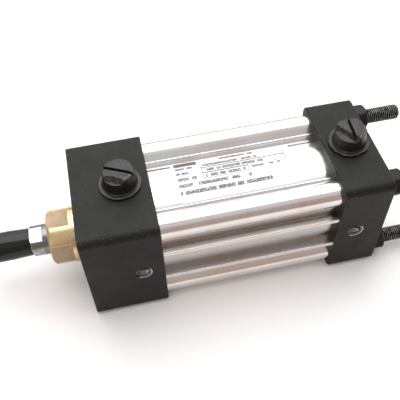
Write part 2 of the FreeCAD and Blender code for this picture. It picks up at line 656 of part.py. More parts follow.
def needle_parts(x):
    """Needle screw, its seal and its retaining ring, at one end."""
    r = NEEDLE_DIA / 2
    tip_end = HALF - CHAMBER_R
    body = turned_z([(0, NEEDLE_RECESS), (r - NEEDLE_CHAMFER, NEEDLE_RECESS),
                     (r, NEEDLE_RECESS + NEEDLE_CHAMFER), (r, NEEDLE_THREAD_END),
                     (NEEDLE_STEM_R, NEEDLE_THREAD_END), (NEEDLE_STEM_R, NEEDLE_STEM_END),
                     (NEEDLE_TIP_DIA / 2, NEEDLE_STEM_END), (NEEDLE_TIP_END_DIA / 2, tip_end),
                     (0, tip_end)])
    floor = NEEDLE_STEM_R - NEEDLE_SEAL_DEPTH
    groove_from = Vector(0, 0, NEEDLE_SEAL_AT)
    groove = Part.makeCylinder(NEEDLE_STEM_R + CUT_OVER, NEEDLE_SEAL_WIDTH, groove_from)
    groove = groove.cut(Part.makeCylinder(floor, NEEDLE_SEAL_WIDTH, groove_from))
    slot = Part.makeBox(NEEDLE_DIA + 2 * CUT_OVER, NEEDLE_SLOT_WIDTH, NEEDLE_SLOT_DEPTH,
                        Vector(-r - CUT_OVER, -NEEDLE_SLOT_WIDTH / 2, NEEDLE_RECESS))
    slot.rotate(ORIGIN, Vector(0, 0, 1), NEEDLE_SLOT_TURN)
    needle = body.cut([groove, slot])
    seal_len = NEEDLE_SEAL_WIDTH - 2 * SEAT_GAP
    seal_from = Vector(0, 0, NEEDLE_SEAL_AT + SEAT_GAP)
    seal = Part.makeCylinder(NEEDLE_STEM_R, seal_len, seal_from)
    seal = seal.cut(Part.makeCylinder(floor + SEAT_GAP, seal_len, seal_from))
    ring_from = Vector(0, 0, NEEDLE_RING_DEPTH + SEAT_GAP)
    ring_len = NEEDLE_RING_THICK - 2 * SEAT_GAP
    ring = Part.makeCylinder(NEEDLE_RING_R - SEAT_GAP, ring_len, ring_from)
    ring = ring.cut(Part.makeCylinder(r - NEEDLE_RING_COVER, ring_len, ring_from))
    return [along(piece, needle_place(x), Vector(0, 1, 0)) for piece in (needle, seal, ring)]


def make_plug(end, x):
    """Shipping plug: tapered stem in the port, flange and slotted stub above."""
    mouth = PORT_DIA / 2 - PLUG_GAP
    foot = mouth - PLUG_STEM_LEN / PORT_TAPER / 2
    flange = PORT_DIA / 2 + PLUG_FLANGE_RIM
    stub = PORT_DIA / 2 - PLUG_STUB_STEP
    foot_z = HALF - PLUG_STEM_LEN
    flange_z = HALF + PLUG_GAP
    stub_z = flange_z + PLUG_FLANGE_THICK
    top_z = HALF + PLUG_STUB_HEIGHT
    body = turned_z([(0, foot_z), (foot, foot_z), (mouth, flange_z), (flange, flange_z),
                     (flange, stub_z), (stub, stub_z), (stub - PLUG_STUB_TAPER, top_z), (0, top_z)])
    slot = Part.makeBox(2 * stub, PLUG_SLOT_WIDTH, PLUG_SLOT_DEPTH + CUT_OVER,
                        Vector(-stub, -PLUG_SLOT_WIDTH / 2, top_z - PLUG_SLOT_DEPTH))
    slot.rotate(ORIGIN, Vector(0, 0, 1), PLUG_TURNS[end])
    hollow = Part.makeCylinder(foot - PLUG_WALL, PLUG_STEM_LEN, Vector(0, 0, foot_z))
    return body.cut([slot, hollow]).translated(Vector(x, 0, 0))


# ---- assembly -----------------------------------------------------------------
def build():
    """Make every sub-part as (node, shape)."""
    parts = {
        "head": make_head(),
        "cap": make_cap(),
        "barrel_tube": make_barrel(),
        "rating_label": make_label(),
        "rod_gland": make_gland(),
        "rod_wiper": make_wiper(),
        "piston_rod": make_rod(),
        "rod_end_stud": make_rod_stud(),
        "piston": make_piston(),
        "front_cushion_sleeve": make_sleeve(),
        "rear_cushion_spear": make_spear(),
        "thread_protector": make_protector(),
    }
    for number, (y, z) in enumerate(TIE_CORNERS, 1):
        parts["tie_rod_%d" % number] = make_tie_rod(y, z)
        parts["tie_rod_nut_%d" % number] = make_nut(y, z)
    rod_seal_x, o_ring_x = gland_seal_x()[1:]
    parts["rod_seal"] = groove_ring(rod_seal_x, ROD_SEAL_LEN, ROD_R + SEAL_GAP,
                                    ROD_R + ROD_SEAL_DEPTH - SEAT_GAP)
    parts["gland_o_ring"] = groove_ring(o_ring_x, GLAND_SEAL_WIDTH,
                                        GLAND_NOSE_R - GLAND_SEAL_DEPTH + SEAT_GAP,
                                        GLAND_NOSE_R + SEAT_GAP / 2)
    parts["piston_seal_front"] = cup_seal("seal_front", True)
    parts["piston_seal_rear"] = cup_seal("seal_rear", False)
    parts["piston_wear_ring"] = piston_ring("wear", SEAL_GAP)
    parts["piston_magnet"] = piston_ring("magnet", PISTON_GAP + SEAT_GAP)
    parts["piston_o_ring"] = groove_ring(PISTON_X0, PISTON_O_RING_WIDTH,
                                         PISTON_STUD_R + SEAT_GAP, PISTON_O_RING_R - SEAT_GAP)
    ends = (("head", HEAD_LEN, HEAD_SPIGOT_X, -1, HEAD_NEEDLE_X, HEAD_PORT_X),
            ("cap", CAP_X0, CAP_SPIGOT_X, 1, CAP_NEEDLE_X, CAP_PORT_X))
    for end, x_face, x_spigot, inward, x_needle, x_port in ends:
        ring, seal = cushion_parts(x_spigot, inward)
        parts[end + "_cushion_retainer"] = ring
        parts[end + "_cushion_seal"] = seal
        parts[end + "_tube_seal"] = tube_seal(x_face, x_spigot)
        needle, needle_seal, needle_ring = needle_parts(x_needle)
        parts[end + "_cushion_needle"] = needle
        parts[end + "_needle_seal"] = needle_seal
        parts[end + "_needle_retainer"] = needle_ring
        parts[end + "_port_plug"] = make_plug(end, x_port)
    return parts


os.makedirs("parts", exist_ok=True)
for name, piece in build().items():
    save(name, piece)
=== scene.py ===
"""Looks of a tie-rod air cylinder: threads, nuts, plugs, sleeve, label and finishes.

Metres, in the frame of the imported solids: X runs along the bore from the rod end to
the cap end, Z is up towards the ports, and the cushion needles are on the -Y face.
"""

import json
import logging
import math
from collections.abc import Callable, Sequence
from dataclasses import dataclass
from enum import Enum
from typing import Union

import bmesh
import bpy
import numpy as np
from mathutils import Matrix, Vector

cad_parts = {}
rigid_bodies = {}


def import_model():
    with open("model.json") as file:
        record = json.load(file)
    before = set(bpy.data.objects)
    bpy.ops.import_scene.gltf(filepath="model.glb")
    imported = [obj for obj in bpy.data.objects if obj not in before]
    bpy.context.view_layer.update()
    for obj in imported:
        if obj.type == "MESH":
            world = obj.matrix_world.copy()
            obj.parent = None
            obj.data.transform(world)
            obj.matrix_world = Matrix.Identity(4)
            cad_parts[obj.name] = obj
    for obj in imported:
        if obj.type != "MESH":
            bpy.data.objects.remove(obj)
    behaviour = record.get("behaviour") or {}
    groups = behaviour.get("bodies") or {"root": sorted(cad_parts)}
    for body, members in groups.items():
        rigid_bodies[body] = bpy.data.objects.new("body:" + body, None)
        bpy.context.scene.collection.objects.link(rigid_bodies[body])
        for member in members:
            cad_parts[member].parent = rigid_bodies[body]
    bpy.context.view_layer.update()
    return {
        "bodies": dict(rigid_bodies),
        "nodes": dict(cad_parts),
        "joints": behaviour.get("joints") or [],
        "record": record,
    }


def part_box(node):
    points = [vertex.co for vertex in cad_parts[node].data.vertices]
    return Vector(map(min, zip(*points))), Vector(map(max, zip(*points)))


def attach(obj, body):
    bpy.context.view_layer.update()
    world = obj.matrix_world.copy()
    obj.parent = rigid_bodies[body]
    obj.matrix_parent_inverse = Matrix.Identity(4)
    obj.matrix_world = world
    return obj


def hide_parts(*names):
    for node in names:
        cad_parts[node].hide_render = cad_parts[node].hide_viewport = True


MM = 0.001
TAU = 2 * math.pi
ROUND = 96              # points round a turned piece
log = logging.getLogger("cylinder")

Colour = tuple[float, float, float]
Place = tuple[float, float, float]
Limits = tuple[float, float]
Profile = np.ndarray
Reshape = Callable[[np.ndarray, np.ndarray, np.ndarray], np.ndarray]


# ---- surfaces -------------------------------------------------------------------
class Axis(Enum):
    """Direction that a turned surface runs along, with its two cross directions."""

    X = ((1, 0, 0), (0, 1, 0), (0, 0, 1))
    Z = ((0, 0, 1), (1, 0, 0), (0, 1, 0))
    MINUS_Y = ((0, -1, 0), (1, 0, 0), (0, 0, 1))

    def place(self, along: np.ndarray, across: np.ndarray, up: np.ndarray,
              centre: Sequence[float]) -> np.ndarray:
        """Points at centre + along * axis + across * first cross + up * second cross."""
        axes = [np.array(a, float) for a in self.value]
        parts = (along[..., None] * axes[0], across[..., None] * axes[1], up[..., None] * axes[2])
        return np.array(centre, float) + parts[0] + parts[1] + parts[2]


@dataclass
class Patch:
    """A surface as a grid of points.

    The faces join each point to the next in its row and to the row after.

    Attributes:
        points: Array of rows by columns by 3.
        closed: Whether the last column joins the first.
        shift: Rows that the join moves along, which makes the grid a helical strip.
    """

    points: np.ndarray
    closed: bool = True
    shift: int = 0

    def quads(self) -> np.ndarray:
        """Corner numbers of every face, four to a row."""
        rows, columns = self.points.shape[:2]
        last = columns if self.closed else columns - 1
        i, j = np.meshgrid(np.arange(rows - 1 - self.shift), np.arange(last), indexing="ij")
        next_i = np.where(j == columns - 1, i + self.shift, i)
        next_j = (j + 1) % columns
        here = i * columns + j
        there = next_i * columns + next_j
        return np.stack([here, there, there + columns, here + columns], axis=-1).reshape(-1, 4)


def even_angles(count: int, *extra: float) -> np.ndarray:
    """Angles round a turn, evenly spaced, with some exact ones added."""
    spaced = np.arange(count) * TAU / count
    exact = np.mod(np.array(extra, float), TAU)
    far = [np.abs(np.angle(np.exp(1j * (spaced - e)))) > 0.3 * TAU / count for e in exact]
    keep = np.all(far, axis=0) if len(exact) else np.ones(count, bool)
    return np.sort(np.concatenate([spaced[keep], exact]))


def softened(corners: Sequence[tuple[float, float, float]], steps: int = 4) -> Profile:
    """Profile with rounded corners.

    Each corner P with softness d becomes the curve (1-t)^2 A + 2t(1-t) P + t^2 B, where
    A and B lie d before and after P on its two sides.

    Args:
        corners: (along, radius, softness) in order.
        steps: Spans of each rounded corner.

    Returns:
        Array of (along, radius) points.
    """
    points = np.array([c[:2] for c in corners], float)
    rounded = [points[0]]
    t = np.linspace(0, 1, steps + 1)[:, None]
    for before, here, after, corner in zip(points, points[1:], points[2:], corners[1:]):
        if corner[2] <= 0:
            rounded.append(here)
            continue
        back = (before - here) / np.linalg.norm(before - here)
        ahead = (after - here) / np.linalg.norm(after - here)
        start, end = here + back * corner[2], here + ahead * corner[2]
        rounded.extend((1 - t) ** 2 * start + 2 * t * (1 - t) * here + t ** 2 * end)
    rounded.append(points[-1])
    return np.array(rounded)


def turned(profile: Profile, axis: Axis, centre: Sequence[float], angles: np.ndarray,
           reshape: Reshape | None = None) -> Patch:
    """Profile turned about an axis: point = centre + along + r (cos a, sin a).

    Args:
        profile: Array of (along, radius).
        axis: Direction of the axis.
        centre: A point on the axis.
        angles: Angles of the columns.
        reshape: Gives the radius from along, radius and angle where it isn't round.

    Returns:
        The surface, closed round the axis.
    """
    along, angle = np.meshgrid(profile[:, 0], angles, indexing="ij")
    radius = np.repeat(profile[:, 1:2], len(angles), axis=1)
    if reshape is not None:
        radius = reshape(along, radius, angle)
    return Patch(axis.place(along, radius * np.cos(angle), radius * np.sin(angle), centre))


def waves(angle: np.ndarray, seed: int, counts: Sequence[int]) -> np.ndarray:
    """Sum of cosines round a turn with seeded phases, scaled to about -1 to 1."""
    phases = np.random.default_rng(seed).uniform(0, TAU, len(counts))
    total = sum(np.cos(n * angle + p) / math.sqrt(n) for n, p in zip(counts, phases))
    return total / sum(1 / math.sqrt(n) for n in counts)


def solid_object(name: str, patches: Sequence[Patch], crease: float = 34.0) -> bpy.types.Object:
    """Weld patches into one mesh object with outward faces.

    Args:
        name: Name of the new piece.
        patches: Its surfaces, which meet point on point.
        crease: Degrees between faces past which an edge stays sharp.

    Returns:
        The new object, in the scene, with its place in its mesh.
    """
    starts = np.cumsum([0] + [p.points.shape[0] * p.points.shape[1] for p in patches])
    points = np.concatenate([p.points.reshape(-1, 3) for p in patches])
    quads = np.concatenate([p.quads() + start for p, start in zip(patches, starts)])
    mesh = bpy.data.meshes.new(name)
    mesh.from_pydata(points, [], quads)
    work = bmesh.new()
    work.from_mesh(mesh)
    bmesh.ops.remove_doubles(work, verts=work.verts, dist=0.002 * MM)
    bmesh.ops.recalc_face_normals(work, faces=work.faces)
    work.to_mesh(mesh)
    work.free()
    mesh.validate()
    mesh.shade_smooth()
    mesh.set_sharp_from_angle(angle=math.radians(crease))
    piece = bpy.data.objects.new(name, mesh)
    bpy.context.scene.collection.objects.link(piece)
    return piece


# ---- shader maths -----------------------------------------------------------------
Value = Union["Wire", float]


class Wire:
    """A node's output socket that adds Math nodes when it is used in an expression."""

    def __init__(self, bench: "Bench", socket: bpy.types.NodeSocket) -> None:
        """Wrap a socket of a bench's node tree."""
        self.bench = bench
        self.socket = socket

    def maths(self, operation: str, *values: Value) -> "Wire":
        """One Math node of the given operation on the values."""
        inputs = dict(enumerate(values))
        return self.bench.node("ShaderNodeMath", {"operation": operation}, inputs)

    def __add__(self, other: Value) -> "Wire":
        """self + other."""
        return self.maths("ADD", self, other)

    __radd__ = __add__

    def __sub__(self, other: Value) -> "Wire":
        """self - other."""
        return self.maths("SUBTRACT", self, other)

    def __rsub__(self, other: Value) -> "Wire":
        """other - self."""
        return self.maths("SUBTRACT", other, self)

    def __mul__(self, other: Value) -> "Wire":
        """self * other."""
        return self.maths("MULTIPLY", self, other)

    __rmul__ = __mul__

    def __abs__(self) -> "Wire":
        """Size of self without its sign."""
        return self.maths("ABSOLUTE", self)

    def __pow__(self, other: Value) -> "Wire":
        """self to a power."""
        return self.maths("POWER", self, other)

    def __lt__(self, other: Value) -> "Wire":
        """1 where self is less than other."""
        return self.maths("LESS_THAN", self, other)

    def __gt__(self, other: Value) -> "Wire":
        """1 where self is more than other."""
        return self.maths("GREATER_THAN", self, other)

    def least(self, other: Value) -> "Wire":
        """The smaller of self and other."""
        return self.maths("MINIMUM", self, other)

    def most(self, other: Value) -> "Wire":
        """The larger of self and other."""
        return self.maths("MAXIMUM", self, other)

    def between(self, low: float, high: float) -> "Wire":
        """1 where self lies between two values."""
        return (self > low) * (self < high)

    def wave(self) -> "Wire":
        """Sine of self, brought to 0 to 1."""
        return (self.maths("SINE", self) + 1.0) * 0.5

    def step(self, low: float, high: float, out_low: float = 0.0, out_high: float = 1.0) -> "Wire":
        """Smooth step of self from low to high, between two output values."""
        inputs = {0: self, 1: low, 2: high, 3: out_low, 4: out_high}
        return self.bench.node("ShaderNodeMapRange", {"interpolation_type": "SMOOTHSTEP"}, inputs)


@dataclass(frozen=True)
class Noise:
    """How a noise varies: blobs to a unit of length, levels of detail, and their roughness."""

    scale: float
    detail: float = 3.0
    roughness: float = 0.55


@dataclass
class Bench:
    """A node tree, with short ways to add to it.

    Attributes:
        tree: The node tree of a material or a world.
        surface: Name of the node that set() feeds.
    """

    tree: bpy.types.NodeTree
    surface: str = "Principled BSDF"

    def node(self, kind: str, settings: dict, inputs: dict, output: Union[int, str] = 0) -> Wire:
        """Add any node.

        Args:
            kind: The node's type name.
            settings: Its settings, set first; "stops" fills a colour ramp.
            inputs: Values or wires by socket name or number.
            output: Name or number of the output wanted.

        Returns:
            That output.
        """
        made = self.tree.nodes.new(kind)
        stops = settings.get("stops", ())
        for key, value in settings.items():
            if key != "stops":
                setattr(made, key, value)
        for index, (at, shade) in enumerate(stops):
            ramp = made.color_ramp.elements
            stop = ramp[index] if index < 2 else ramp.new(at)
            stop.position = at
            stop.color = (*shade, 1)
        for key, value in inputs.items():
            self.feed(made.inputs[key], value)
        return Wire(self, made.outputs[output])

    def feed(self, socket: bpy.types.NodeSocket, value: object) -> None:
        """Link a wire to a socket, or set the socket's own value."""
        if isinstance(value, Wire):
            self.tree.links.new(value.socket, socket)
        elif isinstance(value, tuple) and len(value) == 3 and socket.type == "RGBA":
            socket.default_value = (*value, 1)
        else:
            socket.default_value = value

    def place(self, stretch: Sequence[float] = (1, 1, 1), centre: Sequence[float] = (0, 0, 0)) -> Wire:
        """Object coordinates, moved so that centre is the origin and then stretched."""
        coords = self.node("ShaderNodeTexCoord", {}, {}, "Object")
        moved = self.node("ShaderNodeVectorMath", {"operation": "SUBTRACT"}, {0: coords, 1: tuple(centre)})
        return self.node("ShaderNodeVectorMath", {"operation": "MULTIPLY"}, {0: moved, 1: tuple(stretch)})

    def split(self, vector: Wire) -> tuple[Wire, Wire, Wire]:
        """The three parts of a vector."""
        parts = self.node("ShaderNodeSeparateXYZ", {}, {0: vector})
        outputs = parts.socket.node.outputs
        return Wire(self, outputs[0]), Wire(self, outputs[1]), Wire(self, outputs[2])

    def spot(self, x: Value, y: Value) -> Wire:
        """A vector of two values, with 0 for its third."""
        return self.node("ShaderNodeCombineXYZ", {}, {0: x, 1: y})

    def noise(self, vector: Wire, kind: Noise) -> Wire:
        """Noise from about 0 to 1."""
        inputs = {"Vector": vector, "Scale": kind.scale, "Detail": kind.detail,
                  "Roughness": kind.roughness}
        return self.node("ShaderNodeTexNoise", {}, inputs)

    def blend(self, factor: Value, first: object, second: object) -> Wire:
        """Colour that goes from first to second as factor goes from 0 to 1."""
        inputs = {0: factor, 6: first, 7: second}
        return self.node("ShaderNodeMix", {"data_type": "RGBA"}, inputs, 2)

    def bump(self, height: Wire, depth: float, strength: float = 1.0, under: Wire | None = None) -> Wire:
        """Normal of a height of 0 to 1, where 1 stands depth metres out."""
        inputs = {"Height": height, "Distance": depth, "Strength": strength}
        if under is not None:
            inputs["Normal"] = under
        return self.node("ShaderNodeBump", {}, inputs)

    def set(self, **sockets: object) -> None:
        """Feed sockets of the surface's node, with _ for each space in a name."""
        node = self.tree.nodes[self.surface]
        for key, value in sockets.items():
            self.feed(node.inputs[key.replace("_", " ")], value)


# ---- finishes ---------------------------------------------------------------------
MIDDLE = (0.3, 0.7)     # stretch of a noise's values over which roughness is spread


def scaled(tone: Colour, share: float) -> Colour:
    """A colour with each of its parts times a share."""
    return tuple(share * c for c in tone)


@dataclass(frozen=True)
class Finish:
    """A finish: a name, a colour and how it varies. Each kind says how in dress().

    Attributes:
        name: Material name.
        tone: Main colour, linear.
        gloss: Roughness where it is cleanest.
        metal: Metallic value.
        shine: Specular level, 0.5 for plain plastic.
        spread: Shares of the gloss where the mottle is low and where it is high.
    """

    name: str
    tone: Colour
    gloss: float = 0.4
    metal: float = 0.0
    shine: float = 0.5
    spread: Limits = (1.2, 0.8)

    def make(self) -> bpy.types.Material:
        """Build the material."""
        material = bpy.data.materials.new(self.name)
        material.use_nodes = True
        bench = Bench(material.node_tree)
        bench.set(Base_Color=self.tone, Roughness=self.gloss, Metallic=self.metal,
                  Specular_IOR_Level=self.shine)
        self.dress(bench)
        return material

    def uneven(self, mottle: Wire) -> Wire:
        """Roughness that goes between the two shares of the gloss as a noise rises."""
        low, high = self.spread
        return mottle.step(*MIDDLE, self.gloss * low, self.gloss * high)

    def dress(self, bench: Bench) -> None:
        """Add what varies over the surface."""
        raise NotImplementedError


@dataclass(frozen=True)
class PlainStock(Finish):
    """Plain stock: slightly mottled colour and gloss with a fine grain."""

    mottle: Noise = Noise(260)
    grain: Noise = Noise(5200, 2)
    grain_depth: float = 0.012 * MM
    dull_share: float = 0.8
    spread: Limits = (1.2, 0.85)

    def dress(self, bench: Bench) -> None:
        """Mottle goes from a duller tone to the main one."""
        mottle = bench.noise(bench.place(), self.mottle)
        grain = bench.noise(bench.place(), self.grain)
        bench.set(Base_Color=bench.blend(mottle, scaled(self.tone, self.dull_share), self.tone),
                  Roughness=self.uneven(mottle),
                  Normal=bench.bump(grain, self.grain_depth))


@dataclass(frozen=True)
class PaleFloor(Finish):
    """Plain matt studio paper."""

    cloud: Noise = Noise(9, 2)
    shade: float = 0.985

    def dress(self, bench: Bench) -> None:
        """Very faint broad variation."""
        cloud = bench.noise(bench.place(), self.cloud)
        bench.set(Base_Color=bench.blend(cloud, scaled(self.tone, self.shade), self.tone))


@dataclass(frozen=True)
class AnodisedBlock(Finish):
    """Black anodised block with sparse specks, rubbed edges and bright hole mouths; the needle holes'
    lower rims are bare metal with a painted highlight.

    Attributes:
        half: Half of the block's width and height.
        ends: The block's two faces across X that show.
        needle_x: Place of the needle's axis along X.
        needle_hole: Radius of the needle's hole.
        port_x: Place of the port's axis along X.
        port_radius: Radius of the port at its mouth.
        thread_pitch: Pitch of the port's thread.
        thread_depth: Height of that thread.
        speck: Colour of the specks and of rubbed edges.
        bare: Colour of bare metal, also of the painted highlight on the needle holes' lower rims.
        tones: Shares of the tone between which the colour varies.
        edge_wear: Distances from an edge at which wear starts and is full.
        chip_limits: Noise values at which wear starts and is full.
        rubbed_share: How much of the wear shows.
        speck_limits: Noise values at which a speck starts and is full.
        speck_share: How much of a speck shows.
        mouth_depth: How far the bare metal and painted highlight go down the needle's hole.
        mouth_edge: How far past the hole's radius it goes.
        mouth_from: Distance below the hole's slanting middle line at which it starts.
        port_edge: How far past the port's radius bare metal goes.
        port_from: Height above which the port is bare, as a share of the half width.
        bare_polish: How much smoother bare metal is.
        cloud: Broad mottle.
        grain: Fine matt grain.
        chips: Breaks up the rubbed edges.
        specks: Places the specks.
        grain_depth: Height of the grain.
    """

    half: float = 0.0
    ends: Limits = (0.0, 0.0)
    needle_x: float = 0.0
    needle_hole: float = 0.0
    port_x: float = 0.0
    port_radius: float = 0.0
    thread_pitch: float = 1.411 * MM
    thread_depth: float = 0.5 * MM
    speck: Colour = (0.30, 0.30, 0.30)
    bare: Colour = (0.72, 0.72, 0.70)
    tones: Limits = (0.8, 1.15)
    edge_wear: Limits = (1.1 * MM, 0.1 * MM)
    chip_limits: Limits = (0.5, 0.72)
    rubbed_share: float = 0.35
    speck_limits: Limits = (0.755, 0.78)
    speck_share: float = 0.7
    mouth_depth: float = 3.2 * MM
    mouth_edge: float = 0.30 * MM
    mouth_from: float = 0.6 * MM
    port_edge: float = 0.12 * MM
    port_from: float = 0.2
    bare_polish: float = 0.18
    spread: Limits = (1.12, 0.9)
    cloud: Noise = Noise(90, 4, 0.6)
    grain: Noise = Noise(6500, 2)
    chips: Noise = Noise(900, 5, 0.7)
    specks: Noise = Noise(1700, 1, 0.4)
    grain_depth: float = 0.010 * MM

    def dress(self, bench: Bench) -> None:
        """Colour from the masks of worn edges, specks, bare metal and the painted highlight in the
        needle's hole.
        """
        place = bench.place()
        cloud = bench.noise(place, self.cloud)
        specks = bench.noise(place, self.specks).step(*self.speck_limits)
        wear = (self.rubbed(bench) * self.rubbed_share).most(specks * self.speck_share)
        z = bench.split(place)[2]
        in_port = self.in_port(bench)
        # bare is real bare metal in the port; in the needle's hole it is bare metal kept to the lower rim
        # as a painted highlight
        bare = self.bare_mouth_and_highlight(bench).most(in_port)
        low, high = (scaled(self.tone, share) for share in self.tones)
        tone = bench.blend(wear, bench.blend(cloud, low, high), self.speck)
        threads = (z * (TAU / self.thread_pitch)).wave() * in_port
        bench.set(Base_Color=bench.blend(bare, tone, self.bare), Metallic=bare,
                  Roughness=self.uneven(cloud) - bare * self.bare_polish,
                  Normal=bench.bump(bench.noise(place, self.grain), self.grain_depth, 1.0,
                                    bench.bump(threads, self.thread_depth)))

    def rubbed(self, bench: Bench) -> Wire:
        """1 at the block's edges, where the second least distance to a face is small."""
        place = bench.place()
        x, y, z = bench.split(place)
        to_x = (x - self.ends[0]).least(self.ends[1] - x)
        to_y, to_z = self.half - abs(y), self.half - abs(z)
        nearest = to_x.least(to_y).least(to_z)
        farthest = to_x.most(to_y).most(to_z)
        second = to_x + to_y + to_z - nearest - farthest
        return second.step(*self.edge_wear) * bench.noise(place, self.chips).step(*self.chip_limits)

    def bare_mouth_and_highlight(self, bench: Bench) -> Wire:
        """1 in the lower half of the needle's hole, near the face: bare metal, kept to the lower side as a
        painted highlight.
        """
        x, y, z = bench.split(bench.place())
        near_face = (y * -1.0) > (self.half - self.mouth_depth)
        from_axis = ((x - self.needle_x) ** 2 + z * z) ** 0.5
        below = (x - self.needle_x) - z
        return near_face * (from_axis < self.needle_hole + self.mouth_edge) * (below > self.mouth_from)

    def in_port(self, bench: Bench) -> Wire:
        """1 on the wall of the port."""
        x, y, z = bench.split(bench.place())
        from_axis = ((x - self.port_x) ** 2 + y * y) ** 0.5
        return (z > self.port_from * self.half) * (from_axis < self.port_radius + self.port_edge)


@dataclass(frozen=True)
class DrawnBarrel(Finish):
    """Bright extruded aluminium with die lines, and painted shade: a darker grey colour in its side
    channels.

    Attributes:
        smear: Colour of the cloudy patches.
        film: Colour of the painted shade that darkens the side channels.
        channel_shade_share: How much of the painted shade shows.
        channel_high: Height up to which the side channels reach.
        channel_in: Nearest place to the axis, in Y, that counts as a side.
        channel_out: Place in Y past which the ribs' tips are clean.
        high_fade: Half of the stretch over which the painted shade ends in height.
        in_fade: Half of the stretch over which it ends towards the axis.
        cloud: Patches, from which the smear comes.
        smear_limits: Noise values at which the smear starts and is full.
        lines: Die lines, before they are drawn out along X.
        line_draw: Squeeze across X of the die lines.
        line_depth: Height of the die lines.
        broad: Broad streaks, before they are drawn out along X.
        broad_draw: Squeeze across X of the broad streaks.
        broad_limits: Noise values between which the streaks' roughness varies.
        broad_depth: Height of the broad streaks.
    """

    smear: Colour = (0.70, 0.63, 0.58)
    film: Colour = (0.42, 0.40, 0.38)
    channel_shade_share: float = 0.55
    channel_high: float = 15.5 * MM
    channel_in: float = 19.0 * MM
    channel_out: float = 29.4 * MM
    high_fade: float = 1.5 * MM
    in_fade: float = 1.0 * MM
    cloud: Noise = Noise(60, 3)
    smear_limits: Limits = (0.4, 0.75)
    lines: Noise = Noise(2600, 3, 0.6)
    line_draw: float = 0.006
    line_depth: float = 0.009 * MM
    broad: Noise = Noise(420, 3, 0.5)
    broad_draw: float = 0.03
    broad_limits: Limits = (0.25, 0.75)
    broad_depth: float = 0.018 * MM
    spread: Limits = (0.8, 1.3)

    def dress(self, bench: Bench) -> None:
        """Streaks are noise drawn out along X; the painted shade is masked by place in Y and Z."""
        cloud = bench.noise(bench.place(), self.cloud)
        lines = bench.noise(bench.place((self.line_draw, 1, 1)), self.lines)
        broad = bench.noise(bench.place((self.broad_draw, 1, 1)), self.broad)
        tone = bench.blend(cloud.step(*self.smear_limits), self.tone, self.smear)
        # painted shade: the side channels are darkened towards grey, standing in for their dim reflections
        tone = bench.blend(self.channel_shade_mask(bench) * self.channel_shade_share, tone, self.film)
        low, high = self.spread
        bench.set(Base_Color=tone,
                  Roughness=broad.step(*self.broad_limits, self.gloss * low, self.gloss * high),
                  Normal=bench.bump(broad, self.broad_depth, 1.0, bench.bump(lines, self.line_depth)))

    def channel_shade_mask(self, bench: Bench) -> Wire:
        """1 in the side channels, where shade is painted, and 0 elsewhere."""
        y, z = bench.split(bench.place())[1:]
        side = abs(y)
        low_enough = (abs(z) - self.channel_high).step(self.high_fade, -self.high_fade)
        far_enough = (side - self.channel_in).step(-self.in_fade, self.in_fade)
        return low_enough * far_enough * (side < self.channel_out)


@dataclass(frozen=True)
class TurnedMetal(Finish):
    """Lathe-turned metal: fine rings across X, with a mottled tarnish.

    Attributes:
        tarnish: Colour of the tarnish.
        ring: Distance between rings.
        ring_draw: Squeeze along Y and Z that makes the rings.
        ring_depth: Height of the rings.
        cloud: Broad tarnish.
        stain: Small stains.
        cloud_limits: Noise values at which the broad tarnish starts and is full.
        stain_limits: Noise values at which a stain starts and is full.
        shares: How much of the broad tarnish and of the stains shows.
    """

    tarnish: Colour = (0.4, 0.3, 0.2)
    ring: float = 0.22 * MM
    ring_draw: float = 0.02
    ring_depth: float = 0.004 * MM
    cloud: Noise = Noise(150, 5, 0.62)
    stain: Noise = Noise(700, 4, 0.7)
    cloud_limits: Limits = (0.42, 0.72)
    stain_limits: Limits = (0.55, 0.8)
    shares: Limits = (0.55, 0.25)
    spread: Limits = (0.85, 1.25)

    def rings(self, bench: Bench) -> Wire:
        """Noise squeezed so that it varies along X only."""
        return bench.noise(bench.place((1, self.ring_draw, self.ring_draw)), Noise(1 / self.ring, 2))

    def aged(self, cloud: Wire, stain: Wire) -> Wire:
        """How tarnished the metal is, from 0."""
        broad = cloud.step(*self.cloud_limits) * self.shares[0]
        return broad + stain.step(*self.stain_limits) * self.shares[1]

    def dress(self, bench: Bench) -> None:
        """Tarnish over the tone, and rings in the surface."""
        rings = self.rings(bench)
        cloud = bench.noise(bench.place(), self.cloud)
        stain = bench.noise(bench.place(), self.stain)
        bench.set(Base_Color=bench.blend(self.aged(cloud, stain), self.tone, self.tarnish),
                  Roughness=self.uneven(cloud),
                  Normal=bench.bump(rings, self.ring_depth))


